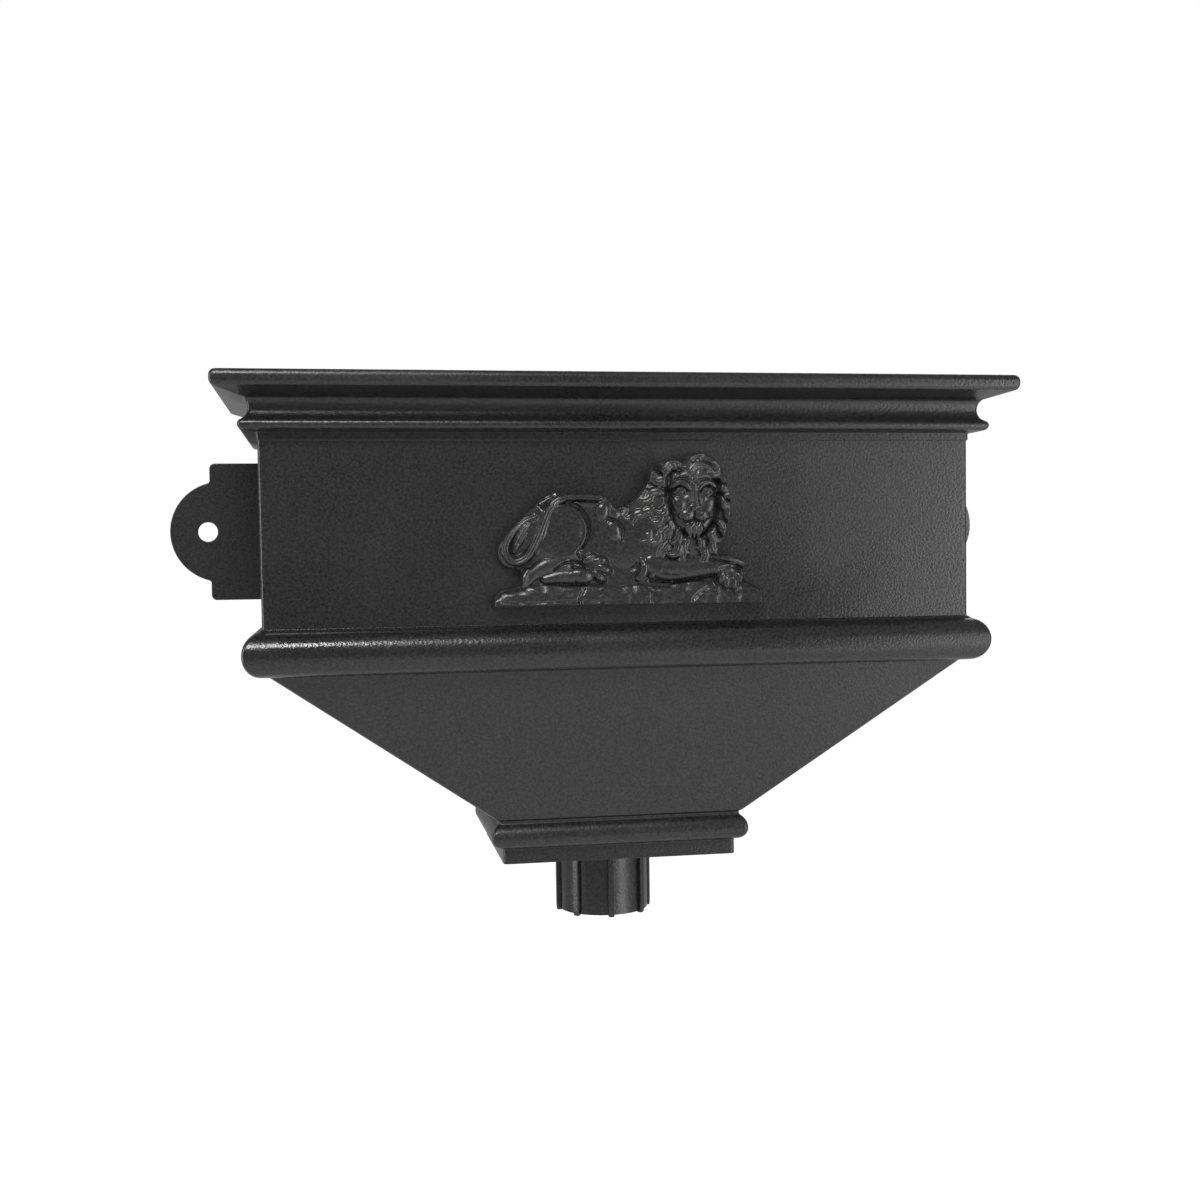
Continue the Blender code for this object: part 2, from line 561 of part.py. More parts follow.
def foreleg(u, v, height):
    """The far elbow's tuft, the near foreleg along the ground and its paw over the ledge."""
    path = [(4.4, 15.4), (7.4, 18.6), (8, 23), (6.2, 27)]
    height = join(height, rope(u, v, path, [1.8, 2.4, 2.4, 1.4], [9.6, 11, 11, 9]), 0.4)
    path = [(12.4, 17), (13.4, 21.6), (12, 26.4)]
    height = join(height, rope(u, v, path, [2, 2.6, 1.6], [9, 10.4, 9]), 0.6)
    path = [(30, 25.6), (48, 26), (60, 26), (69, 23.6)]
    far = rope(u, v, path, [2.6, 2.8, 2.6, 2], [10.6, 11, 10.8, 9.6])
    height = np.maximum(height, far)
    line = [(13, 24.4), (22, 20.6), (36, 20.8), (50, 21.6), (60, 20.4)]
    arm = rope(u, v, line, [6.6, 6.6, 5.6, 4.6, 4.4], [10.6, 12.4, 13, 13, 12.6], 4.6)
    height = np.maximum(height, arm)
    height = height - groove(u, v, [(21, 27.8), (32, 27.6), (42, 26.8), (52, 26), (62, 23.4)], 0.6, 1.5)
    height = height - groove(u, v, [(12, 13.5), (26, 13.4), (38, 14.6), (50, 16.6)], 0.8, 1.8)
    height = height - groove(u, v, [(19, 19.4), (24, 18), (31, 18.4)], 1.6, 0.8)
    height = np.maximum(height, dome(u, v, (61, 14.6), (7.6, 6.6), 12.8, 4.6))
    for toe, turn in (((55.4, 15.4), 70), ((58.4, 12.6), 80), ((62.6, 12.2), 95), ((66.4, 14.6), 115)):
        height = join(height, dome(u, v, toe, (4.0, 2.1), 13.9, 2.4, turn), 0.3)
    return height - groove(u, v, [(54, 20.4), (59, 21.8), (65, 20.6)], 0.7, 1.0)


def mane_edge():
    """The part of the breast and head that locks may grow from."""
    points = [(9, 79), (4, 68), (2, 58), (4, 50), (9, 44), (14, 38)]
    points += [(22, 34), (30, 31), (50, 31), (58, 40), (61, 52), (62, 62)]
    points += [(58, 78), (50, 89), (40, 91), (30, 87), (18, 84)]
    return np.array(points, float)


def mane_locks():
    """Root, line, radii and crest of each lock: rows laid like tiles that turn out from the face."""
    locks = []
    grown = mane_edge()
    rows = ((2.7, 42, 6.5, 2.3, 9.8), (2.42, 39, 7, 2.4, 10.4), (2.12, 35, 7.5, 2.5, 11.1))
    rows += ((1.84, 31, 7.5, 2.6, 11.8), (1.56, 26, 7.5, 2.6, 12.5), (1.32, 22, 7, 2.6, 13.2))
    rows += ((1.08, 19, 7, 2.5, 13.9),)
    for row, (reach, count, length, width, top) in enumerate(rows):
        for index in range(count):
            wobble = math.sin(2.7 * index + 1.9 * row)
            angle = math.tau * (index + 0.5 * (row % 2) + 0.18 * wobble) / count
            out = np.array([math.cos(angle), math.sin(angle)])
            root = np.array([38.5, 60]) + reach * np.array([13.4, 17.6]) * out
            if not within(np.array([root[0]]), np.array([root[1]]), grown)[0]:
                continue
            flow = out + np.array([-0.12, -0.55])
            flow /= np.linalg.norm(flow)
            curl = 1 if (index + row) % 2 else -1
            side = np.array([-flow[1], flow[0]]) * curl * (1 + 0.3 * wobble)
            size = length * (1 + 0.16 * math.sin(4.1 * index + row))
            shape = ((-0.12, -0.08), (0.22, 0.13), (0.55, 0.17), (0.86, 0.02), (1.0, -0.2), (0.92, -0.34))
            line = [root + size * (a * flow + b * side) for a, b in shape]
            locks.append((line, width * (1 + 0.12 * wobble), top + 0.5 * wobble))
    return locks


def lock(u, v, height, line, width, top):
    """One lock laid over what is there: a crowned bar that thins to a curled tip."""
    bar = rope(u, v, line, [0.6 * width, width, width, 0.8 * width, 0.5 * width, 0.3 * width],
               [top, top + 0.5, top, top - 0.8, top - 1.6, top - 2.2], 0.85 * width)
    return np.maximum(height, bar)


def mane(u, v, height):
    """The mane's mass, then its rows of locks from the breast up to the face."""
    mass = dome(u, v, (38, 62), (25, 30), 11.0, 5.5)
    mass = join(mass, dome(u, v, (16, 58), (14, 24), 9.6, 4.5, -18), 2)
    mass = join(mass, dome(u, v, (36, 38), (20, 12), 9.8, 3.6), 2)
    height = join(height, mass, 0.8)
    for line, width, top in mane_locks():
        height = lock(u, v, height, line, width, top)
    return height


def face(u, v, height):
    """The face, turned to the viewer: a hollow round it, brow, eyes, nose, muzzle, mouth and chin."""
    jaw = [(23.5, 77), (23, 67), (24.4, 57), (30, 47), (35, 41.4)]
    jaw += [(41, 41.4), (47, 45), (51.6, 52), (53, 62), (52.4, 72)]
    height = height - groove(u, v, jaw, 1.8, 4.4)
    height = np.maximum(height, dome(u, v, (38, 59.5), (13.6, 19), 14.2, 5.2, 3))
    height = join(height, dome(u, v, (38.4, 75), (12, 5.6), 14.8, 3, 4), 1.2)
    for side in (-1, 1):
        x = 38.0 + 8.0 * side
        height = join(height, dome(u, v, (x + 0.6 * side, 59.4), (4.4, 6), 14.5, 2.6, -16 * side), 1.2)
        height = height - groove(u, v, [(x - 1.4, 66.8), (x + 1.4, 66.8)], 2.6, 2.4)
        height = join(height, dome(u, v, (x, 66.6), (2.3, 1.8), 13.9, 1.8), 0.15)
        brow = [(x - 5.2 * side, 68.6), (x - 2.8 * side, 71.4), (x + 1.2 * side, 72.6), (x + 5 * side, 70)]
        height = join(height, rope(u, v, brow, [1.4, 1.9, 1.8, 1], [15.8, 16.4, 16, 14.8]), 0.5)
        height = join(height, dome(u, v, (38 + 4.3 * side, 53.0), (5.3, 4.3), 16.6, 3.6, -18 * side), 0.7)
    nose = [(38.3, 73), (38.2, 67), (38, 61), (38, 58.4)]
    height = join(height, rope(u, v, nose, [2.4, 2.3, 3.2, 4], [15.6, 16, 17.1, 17.5], 2.6), 0.7)
    height = join(height, dome(u, v, (38, 57.2), (4.4, 2.6), 17.7, 2.2), 0.4)
    for side in (-1, 1):
        height = height - groove(u, v, [(38 + 1.7 * side, 56), (38 + 3.1 * side, 56.5)], 0.6, 1.8)
        height = height - groove(u, v, [(38 + 2.0 * side, 80), (38 + 1.4 * side, 75.6)], 0.8, 0.7)
    height = height - groove(u, v, [(25.5, 73.8), (31, 74.8), (38, 73), (45, 74.6), (50.5, 73)], 0.8, 1.2)
    height = height - groove(u, v, [(30, 50.2), (33.4, 48.6), (38, 50), (42.6, 48.6), (46, 50.2)], 0.7, 2.4)
    height = join(height, dome(u, v, (38, 45.8), (6, 3.4), 14.8, 3), 0.5)
    for root, lean in ((33, -1.6), (36.4, -0.4), (39.8, 0.6), (43.4, 1.8)):
        beard = [(root, 44.6), (root + lean, 41), (root + 0.6 * lean, 37.6), (root + 1.6 * lean, 34.4)]
        height = lock(u, v, height, beard, 2.1, 13.4)
    for crown, width, top in (([(21.6, 79.6), (24, 83.4), (28.6, 83.9), (32.4, 80.6)], 3.4, 13.4),
                              ([(34.2, 81.6), (37.4, 86.6), (44, 87.8), (52, 83.6)], 3.5, 13.2),
                              ([(36.4, 79), (40, 82.6), (46, 82), (51, 77.4)], 2.9, 15)):
        height = lock(u, v, height, [crown[0]] + crown + [crown[-1]], width, top)
    return height


def lion(u, v):
    """Height of the whole carving over its sheet, below zero outside the lion and its ledge."""
    body = tail(u, v, hind_leg(u, v, trunk(u, v)))
    body = face(u, v, mane(u, v, foreleg(u, v, body)))
    body = np.minimum(body, edge_wall(u, v))
    return np.where(v < 0, 12 * v, np.maximum(body, ledge(u, v)))


def make_motif(parts, material):
    """The relief as a grid lifted off the front, trimmed at its outline and closed behind."""
    drawn_width, drawn_height, drawn_relief = LION_DRAWING
    border = 1
    sheet_width = drawn_width + 2 * border
    sheet_height = drawn_height + 2 * border
    columns = math.ceil(sheet_width * MOTIF_SCALE / MOTIF_GRID)
    rows = math.ceil(sheet_height * MOTIF_SCALE / MOTIF_GRID)
    bm = bmesh.new()
    bmesh.ops.create_grid(bm, x_segments=columns, y_segments=rows, size=0.5)
    flat = np.array([vertex.co for vertex in bm.verts])
    u = flat[:, 0] * sheet_width
    v = (flat[:, 1] + 0.5) * sheet_height - border
    height = lion(u, v) * MOTIF_RELIEF / drawn_relief
    front = -BOX_DEPTH - BOND_GAP - MOTIF_EDGE
    for vertex, x, z, lift in zip(bm.verts, u, v, height):
        vertex.co = (x * MOTIF_SCALE, front - lift, MOTIF_FOOT_Z + z * MOTIF_SCALE)
    everything = list(bm.verts) + list(bm.edges) + list(bm.faces)
    bmesh.ops.bisect_plane(bm, geom=everything, dist=0.00002, plane_co=(0, front, 0),
                           plane_no=(0, 1, 0), clear_outer=True)
    rim = [edge for edge in bm.edges if edge.is_boundary]
    skirt = bmesh.ops.extrude_edge_only(bm, edges=rim)["geom"]
    foot = [item for item in skirt if isinstance(item, bmesh.types.BMVert)]
    bmesh.ops.translate(bm, verts=foot, vec=(0, MOTIF_EDGE, 0))
    edges = [item for item in skirt if isinstance(item, bmesh.types.BMEdge)]
    bmesh.ops.triangle_fill(bm, edges=[edge for edge in edges if edge.is_boundary], use_beauty=False)
    bmesh.ops.triangulate(bm, faces=bm.faces)
    motif = mesh_object("lion_motif", bm, parts)
    motif.data.materials.append(material)
    smooth(motif, 60)
    return motif


def main():
    clear_scene()
    parts = new_collection("downpipe_hopper_head")
    cutters = new_collection("cutters")
    plastic = new_material("charcoal_black_moulding", (0.030, 0.030, 0.031), 0.42)
    make_hopper(parts, cutters, plastic)
    make_motif(parts, plastic)


main()
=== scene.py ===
"""Downpipe hopper head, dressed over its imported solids. +Z is up and the wall is Y = 0.

The pieces are drawn in millimetres and made in metres. The studio is in metres.
"""

import math

import bmesh
import bpy
import numpy as np
from mathutils import Matrix, Vector


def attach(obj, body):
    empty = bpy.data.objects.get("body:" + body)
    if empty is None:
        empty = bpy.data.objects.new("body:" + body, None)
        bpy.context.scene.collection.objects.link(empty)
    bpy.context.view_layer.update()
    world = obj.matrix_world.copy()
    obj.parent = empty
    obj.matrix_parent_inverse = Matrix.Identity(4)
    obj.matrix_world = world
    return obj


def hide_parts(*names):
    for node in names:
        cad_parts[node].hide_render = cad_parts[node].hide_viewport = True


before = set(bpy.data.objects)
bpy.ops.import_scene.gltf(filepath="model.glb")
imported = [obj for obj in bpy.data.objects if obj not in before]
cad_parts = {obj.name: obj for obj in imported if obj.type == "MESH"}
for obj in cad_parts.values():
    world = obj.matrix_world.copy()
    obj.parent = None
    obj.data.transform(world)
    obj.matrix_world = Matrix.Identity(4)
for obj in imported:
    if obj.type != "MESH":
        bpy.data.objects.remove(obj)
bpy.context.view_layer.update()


# Hopper: the box with its cornice and half-round belt, the funnel, the collar and the outlet stub.
# One injection moulding in a black, weather-proof plastic, open at the top, with soft arrises
# and a fine grain from the tool. Its mouldings run round the front and die into the flat back.

MM = 0.001
HALF_WIDTH, DEPTH, WALL, CORNER = 217.0, 145.0, 3.5, 2.5
RIM_Z, FIELD_TOP_Z, BELT_TOP_Z, BELT_Z, BELT_FOOT_Z = 88.0, 49.4, -60.4, -75.0, -88.5
NECK_Z, COLLAR_Z, FLOOR_Z, SPIGOT_Z = -183.0, -211.5, -207.5, -256.0
NECK_HALF_WIDTH, NECK_DEPTH = 78.0, 110.0
SPIGOT_RADIUS, SPIGOT_BORE, SPIGOT_Y = 29.6, 26.8, -40.0
SIDE_DRAFT = 0.8
NOSE_REACH, NOSE_RADIUS, NOSE_HEIGHT, SOFFIT_DROP = 24.7, 3.0, 9.6, 13.4
BELT_REACH, BELT_HALF_HEIGHT = 11.5, 13.0
FUNNEL_HEAD_REACH, ARRIS_REACH, BAND_REACH = -3.5, 0.9, -3.6
OUTSIDE_ROWS, INSIDE_ROWS, STUB_ROWS = 330, 70, 60


def arc(centre, radii, start, end, steps):
    """Points of an ellipse: its centre plus its radii times cosine and sine of even angles."""
    turn = np.radians(np.linspace(start, end, steps + 1))
    return np.column_stack([centre[0] + radii[0] * np.cos(turn),
                            centre[1] + radii[1] * np.sin(turn)])


def softened(corners, blur, count):
    """A broken line with its corners blurred, as rows of points in any number of columns.

    The line is read every tenth of a millimetre and averaged under a bell curve. It is then
    thinned so that equal steps of turning plus a share of length lie between the points.
    """
    step = 0.1
    run = np.concatenate([[0], np.cumsum(np.linalg.norm(np.diff(corners, axis=0), axis=1))])
    reach = int(3 * blur / step)
    fine = np.arange(0, run[-1] + step, step)
    line = np.column_stack([np.interp(fine, run, column) for column in corners.T])
    before = line[0] + (line[0] - line[1]) * np.arange(reach, 0, -1)[:, None]
    after = line[-1] + (line[-1] - line[-2]) * np.arange(1, reach + 1)[:, None]
    bell = np.exp(-0.5 * (np.arange(-reach, reach + 1) * step / blur) ** 2)
    padded = np.vstack([before, line, after])
    line = np.column_stack([np.convolve(column, bell / bell.sum(), "valid") for column in padded.T])
    tangent = np.gradient(line, axis=0)
    tangent /= np.linalg.norm(tangent, axis=1)[:, None] + 1e-9
    turning = np.linalg.norm(np.gradient(tangent, axis=0), axis=1)
    weight = np.cumsum(turning + step / 40)
    picks = np.interp(np.linspace(weight[0], weight[-1], count), weight, fine)
    return np.column_stack([np.interp(picks, fine, column) for column in line.T])


def box_rows(profile, back):
    """Half width, depth, back and height of the box at each reach and height of a profile."""
    reach, z = np.asarray(profile, float).T
    lean = SIDE_DRAFT * (z - BELT_Z) / (RIM_Z - BELT_Z)
    return np.column_stack([HALF_WIDTH + reach + lean, DEPTH + reach, np.full(len(z), back), z])


def neck_rows(profile, back):
    """The same four values for the collar."""
    reach, z = np.asarray(profile, float).T
    return np.column_stack([NECK_HALF_WIDTH + reach, NECK_DEPTH + reach, np.full(len(z), back), z])


def cornice():
    """Reach and height from the rim down: round nose, soffit, scotia, bead and quirk."""
    side = NOSE_REACH - NOSE_RADIUS
    scotia_radii, bead_radii, quirk_reach, half_flat = (4.2, 6.6), (3.2, 3.2), 0.8, 0.8
    scotia_z = RIM_Z - SOFFIT_DROP - scotia_radii[1]
    bead_z = RIM_Z - SOFFIT_DROP - 16.4
    middle = RIM_Z - NOSE_HEIGHT / 2
    nose_radii = (NOSE_RADIUS, NOSE_HEIGHT / 2 - half_flat)
    parts = [arc((side, middle + half_flat), nose_radii, 90, 0, 16)]
    parts += [arc((side, middle - half_flat), nose_radii, 0, -70, 14)]
    parts += [arc((9.2, scotia_z), scotia_radii, 100, 250, 24)]
    parts += [arc((7.4, bead_z), bead_radii, 60, -90, 20)]
    parts += [[(quirk_reach, bead_z - 4.0), (quirk_reach, bead_z - 8.4), (0.0, FIELD_TOP_Z)]]
    return np.vstack(parts)


def belt():
    """Reach and height from the small step down round the half-round."""
    parts = [[(0.0, BELT_TOP_Z), (1.05, BELT_TOP_Z - 0.32), (1.5, BELT_TOP_Z - 0.96)]]
    parts += [arc((1.0, BELT_Z), (BELT_REACH - 1.0, BELT_HALF_HEIGHT), 80, -90, 40)]
    return np.vstack(parts)


def collar():
    """Reach and height from the funnel's edge down: arris, cove, bead and band."""
    bead = (-2.6, NECK_Z - 11.36)
    parts = [[(ARRIS_REACH, NECK_Z)], arc((1.0, NECK_Z - 1.9), (1.9, 1.9), 135, 225, 10)]
    parts += [arc(bead, (6.6, 8.4), 62, 0, 12), arc(bead, (6.6, 7.2), 0, -88, 14)[1:]]
    foot = parts[-1][-1][1]
    parts += [[(BAND_REACH, foot - 0.5), (BAND_REACH, COLLAR_Z), (-9.0, COLLAR_Z)]]
    return np.vstack(parts)


def hopper_rows():
    """Sections of the skin from the collar's underside up outside, over the rim and down inside.

    Inside the funnel, each value is the outside less the wall's thickness measured on the slant.
    """
    funnel_head = box_rows([(FUNNEL_HEAD_REACH, BELT_FOOT_Z)], 0.0)
    neck_edge = neck_rows([(ARRIS_REACH, NECK_Z)], 0.0)
    outside = [neck_rows(collar()[::-1], 0.0), funnel_head]
    outside += [box_rows(belt()[::-1], 0.0), box_rows(cornice()[::-1], 0.0)]
    height = BELT_FOOT_Z - NECK_Z
    slant = np.hypot(funnel_head[0, :2] - neck_edge[0, :2], height) / height * WALL
    inset = np.array([slant[0], slant[1], WALL, 0.0])
    lip, lip_foot_z, shelf_z, throat_z = NOSE_REACH - 4.5, 81.9, 78.4, 71.1
    hollow_reach, hollow_half_height, well_reach = BELT_REACH - WALL, 5.85, BAND_REACH - WALL
    inside = [(lip, RIM_Z), (lip, lip_foot_z), (1.5, shelf_z), (-WALL, throat_z)]
    inside += [(-WALL, BELT_Z + BELT_HALF_HEIGHT), (hollow_reach, BELT_Z + hollow_half_height)]
    inside += [(hollow_reach, BELT_Z - hollow_half_height)]
    well = [(well_reach, NECK_Z - 8.4), (well_reach, FLOOR_Z), (-12.0, FLOOR_Z)]
    rows = [box_rows(inside, -WALL), funnel_head - inset, neck_edge - inset, neck_rows(well, -WALL)]
    return (softened(np.vstack(outside), 0.28, OUTSIDE_ROWS),
            softened(np.vstack(rows), 0.5, INSIDE_ROWS))


def walk_round():
    """Four columns that place a point on a section: share of half width, share of depth, and
    cosine and sine on the corner's round. Sides are stepped evenly in angle about the stub."""
    side_steps, round_steps, front_steps, back_steps = 24, 8, 48, 40
    front_angle, back_angle = 48, 61
    side = np.tan(np.radians(np.linspace(28, -41, side_steps)))
    side = (side[0] - side) / (side[0] - side[-1])
    front = np.tan(np.radians(np.linspace(-front_angle, front_angle, front_steps)))
    front = front / math.tan(math.radians(front_angle))
    back = np.tan(np.radians(np.linspace(back_angle, -back_angle, back_steps)))
    back = back / math.tan(math.radians(back_angle))
    turn = np.radians(np.linspace(180, 270, round_steps))
    flank, bend, head_on = np.ones(side_steps), np.ones(round_steps), np.ones(front_steps)
    parts = [np.column_stack([-flank, side, -flank, 0 * flank])]
    parts += [np.column_stack([-bend, bend, np.cos(turn), np.sin(turn)])]
    parts += [np.column_stack([front, head_on, 0 * head_on, -head_on])[1:-1]]
    parts += [np.column_stack([bend, bend, -np.cos(turn[::-1]), np.sin(turn[::-1])])]
    parts += [np.column_stack([flank, side[::-1], flank, 0 * flank])]
    parts += [np.column_stack([back, 0 * back, back, 0 * back])[1:-1]]
    ring = np.vstack(parts)
    keep = np.linalg.norm(ring - np.roll(ring, 1, axis=0), axis=1) > 1e-6
    return ring[keep]


def box_surface(rows, ring):
    """Points of a rounded rectangle for every section and every step of the walk round it.

    Each coordinate is its share of the straight part, plus the corner's radius times the cosine
    or sine of the walk.
    """
    half_width, depth, back, z = (column[:, None] for column in rows.T)
    x = ring[:, 0] * (half_width - CORNER) + CORNER * ring[:, 2]
    y = back + ring[:, 1] * (CORNER - depth - back) + CORNER * ring[:, 3]
    return np.stack([x, y, z + 0 * x], axis=-1)


def stub_surface(profile, angles):
    """Points of a turned surface: radius times cosine and sine of each angle, at each height."""
    radius, z = (column[:, None] for column in profile.T)
    x = radius * np.cos(angles)
    return np.stack([x, SPIGOT_Y + radius * np.sin(angles), z + 0 * x], axis=-1)


def grid_faces(rows, columns, wrap_rows, wrap_columns, start=0):
    """Quads between neighbours of a grid, closed on itself where it is told to wrap."""
    i = np.arange(rows if wrap_rows else rows - 1)[:, None]
    j = np.arange(columns if wrap_columns else columns - 1)[None, :]
    below, right = (i + 1) % rows, (j + 1) % columns
    corners = [i * columns + j, i * columns + right, below * columns + right, below * columns + j]
    return start + np.stack(np.broadcast_arrays(*corners), axis=-1).reshape(-1, 4)


def mesh_piece(name, points, faces, material, sharp=40):
    """A piece of the object from millimetre points and faces, with its normals facing out."""
    mesh = bpy.data.meshes.new(name)
    mesh.from_pydata((np.asarray(points).reshape(-1, 3) * MM).tolist(), [],
                     np.asarray(faces).tolist())
    bm = bmesh.new()
    bm.from_mesh(mesh)
    bmesh.ops.remove_doubles(bm, verts=bm.verts, dist=1e-6)
    bmesh.ops.dissolve_degenerate(bm, edges=bm.edges, dist=1e-7)
    bmesh.ops.recalc_face_normals(bm, faces=bm.faces)
    bm.to_mesh(mesh)
    bm.free()
    mesh.shade_smooth()
    mesh.set_sharp_from_angle(angle=math.radians(sharp))
    piece = bpy.data.objects.new(name, mesh)
    bpy.context.scene.collection.objects.link(piece)
    mesh.materials.append(material)
    weighted = piece.modifiers.new("flat_faces_stay_flat", "WEIGHTED_NORMAL")
    weighted.keep_sharp = True
    return piece


def group_of(name, inputs, outputs):
    """An empty node group with its sockets, and its two end nodes."""
    tree = bpy.data.node_groups.new(name, "ShaderNodeTree")
    for label, kind, value in inputs:
        socket = tree.interface.new_socket(label, in_out="INPUT", socket_type=kind)
        if value is not None:
            socket.default_value = value
    for label, kind in outputs:
        tree.interface.new_socket(label, in_out="OUTPUT", socket_type=kind)
    return tree, tree.nodes.new("NodeGroupInput"), tree.nodes.new("NodeGroupOutput")


def math_node(tree, operation, a, b, clamp=False):
    """A sum, product or the like of two sockets or numbers."""
    node = tree.nodes.new("ShaderNodeMath")
    node.operation = operation
    node.use_clamp = clamp
    for socket, value in zip(node.inputs, (a, b)):
        if isinstance(value, bpy.types.NodeSocket):
            tree.links.new(value, socket)
        else:
            socket.default_value = value
    return node.outputs[0]


def noise_node(tree, where, scale, detail, roughness=0.5):
    """Cloud noise at so many cells to the metre, and its grey value."""
    node = tree.nodes.new("ShaderNodeTexNoise")
    tree.links.new(where, node.inputs["Vector"])
    if isinstance(scale, bpy.types.NodeSocket):
        tree.links.new(scale, node.inputs["Scale"])
    else:
        node.inputs["Scale"].default_value = scale
    node.inputs["Detail"].default_value = detail
    node.inputs["Roughness"].default_value = roughness
    return node.outputs["Fac"]


def tool_grain():
    """The grain that a spark-eroded tool leaves: fine pits over a slower, fainter mottle.

    Height is the pits plus a share of the mottle. Speckle runs from the deep to the pale colour
    with the same pits, spread wider round their middle, plus a smaller share of the mottle.
    """
    tree, ends, out = group_of(
        "tool_grain",
        [("Where", "NodeSocketVector", None), ("Grains per metre", "NodeSocketFloat", 1300.0)],
        [("Height", "NodeSocketFloat"), ("Speckle", "NodeSocketFloat")],
    )
    coarseness, mottle_in_height, mottle_in_speckle, spread, level = 0.22, 0.35, 0.3, 2.1, 0.35
    grain = noise_node(tree, ends.outputs["Where"], ends.outputs["Grains per metre"], 1.5)
    coarse = math_node(tree, "MULTIPLY", ends.outputs["Grains per metre"], coarseness)
    mottle = noise_node(tree, ends.outputs["Where"], coarse, 2.0)
    share = math_node(tree, "MULTIPLY", mottle, mottle_in_height)
    tree.links.new(math_node(tree, "ADD", grain, share), out.inputs["Height"])
    speckle = math_node(tree, "SUBTRACT", grain, 0.5)
    speckle = math_node(tree, "MULTIPLY", speckle, spread)
    speckle = math_node(tree, "ADD", speckle, level)
    share = math_node(tree, "MULTIPLY", mottle, mottle_in_speckle)
    tree.links.new(math_node(tree, "ADD", speckle, share, clamp=True), out.inputs["Speckle"])
    return tree


def handling():
    """Faint smears and dust from packing and hands: slow clouds, and the tips of fine ones."""
    tree, ends, out = group_of(
        "handling",
        [("Where", "NodeSocketVector", None), ("Amount", "NodeSocketFloat", 0.5)],
        [("Smear", "NodeSocketFloat"), ("Dust", "NodeSocketFloat")],
    )
    clouds_per_metre, specks_per_metre, speck_edge, speck_slope = 9.0, 420.0, 0.66, 9.0
    slow = noise_node(tree, ends.outputs["Where"], clouds_per_metre, 3.0)
    fine = noise_node(tree, ends.outputs["Where"], specks_per_metre, 2.0, 0.7)
    smear = math_node(tree, "MULTIPLY", slow, ends.outputs["Amount"])
    specks = math_node(tree, "SUBTRACT", fine, speck_edge)
    specks = math_node(tree, "MULTIPLY", specks, speck_slope, clamp=True)
    specks = math_node(tree, "MULTIPLY", specks, slow)
    tree.links.new(smear, out.inputs["Smear"])
    tree.links.new(math_node(tree, "MULTIPLY", specks, ends.outputs["Amount"]), out.inputs["Dust"])
    return tree


GRAIN = tool_grain()
HANDLING = handling()


def black_plastic(name, deep, bloom, roughness, grains, pit):
    """Charcoal black plastic: a deep colour with a paler bloom, satin, with the tool's grain.

    The smear is about a quarter on the average, which is taken off the roughness again.
    """
    material = bpy.data.materials.new(name)
    material.use_nodes = True
    tree = material.node_tree
    shader = tree.nodes["Principled BSDF"]
    where = tree.nodes.new("ShaderNodeTexCoord").outputs["Object"]
    grain = tree.nodes.new("ShaderNodeGroup")
    grain.node_tree = GRAIN
    grain.inputs["Grains per metre"].default_value = grains
    marks = tree.nodes.new("ShaderNodeGroup")
    marks.node_tree = HANDLING
    marks.inputs["Amount"].default_value = 0.5
    mean_smear = 0.25
    for group in (grain, marks):
        tree.links.new(where, group.inputs["Where"])
    tint = tree.nodes.new("ShaderNodeMix")
    tint.data_type = "RGBA"
    tint.inputs["A"].default_value = (*deep, 1)
    tint.inputs["B"].default_value = (*bloom, 1)
    pale = math_node(tree, "ADD", grain.outputs["Speckle"], marks.outputs["Dust"], clamp=True)
    tree.links.new(pale, tint.inputs["Factor"])
    tree.links.new(tint.outputs["Result"], shader.inputs["Base Color"])
    satin = math_node(tree, "ADD", roughness, marks.outputs["Smear"])
    satin = math_node(tree, "SUBTRACT", satin, mean_smear, clamp=True)
    tree.links.new(satin, shader.inputs["Roughness"])
    bump = tree.nodes.new("ShaderNodeBump")
    bump.inputs["Strength"].default_value = 0.35
    bump.inputs["Distance"].default_value = pit
    tree.links.new(grain.outputs["Height"], bump.inputs["Height"])
    tree.links.new(bump.outputs["Normal"], shader.inputs["Normal"])
    shader.inputs["IOR"].default_value = 1.43
    return material


hopper_plastic = black_plastic("hopper_plastic", (0.003, 0.003, 0.0033), (0.020, 0.020, 0.0212),
                               roughness=0.30, grains=620, pit=0.00045)

ring = walk_round()
outside, inside = hopper_rows()
collar_edge = box_surface(neck_rows([(BAND_REACH, COLLAR_Z)], 0.0), ring)[0]
angles = np.arctan2(collar_edge[:, 1] - SPIGOT_Y, collar_edge[:, 0])
stub = [(SPIGOT_BORE + 6, FLOOR_Z), (SPIGOT_BORE, FLOOR_Z), (SPIGOT_BORE, SPIGOT_Z)]
stub += [(SPIGOT_RADIUS, SPIGOT_Z), (SPIGOT_RADIUS, COLLAR_Z), (SPIGOT_RADIUS + 5, COLLAR_Z)]
stub_rows = softened(np.array(stub, float), 0.3, STUB_ROWS)
skin = [box_surface(outside, ring), box_surface(inside, ring), stub_surface(stub_rows, angles)]
skin = np.concatenate(skin)
skin_faces = grid_faces(len(skin), len(ring), True, True)
hopper = mesh_piece("hopper_moulding", skin, skin_faces, hopper_plastic)
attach(hopper, "root")
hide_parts("hopper_head")


# Spigot ribs: eight upright ribs round the outlet stub that centre it in its downpipe.
# They are moulded with the hopper in the same plastic, and run just past the stub's lip.

RIB_COUNT, RIB_WIDTH, RIB_HEIGHT, RIB_SINK = 8, 4.2, 2.4, 1.4
RIB_TOP_Z, RIB_FOOT_Z = FLOOR_Z - 2, -257.0
RIB_ROWS, RIB_STEPS, RIB_SQUARENESS = 33, 64, 0.22


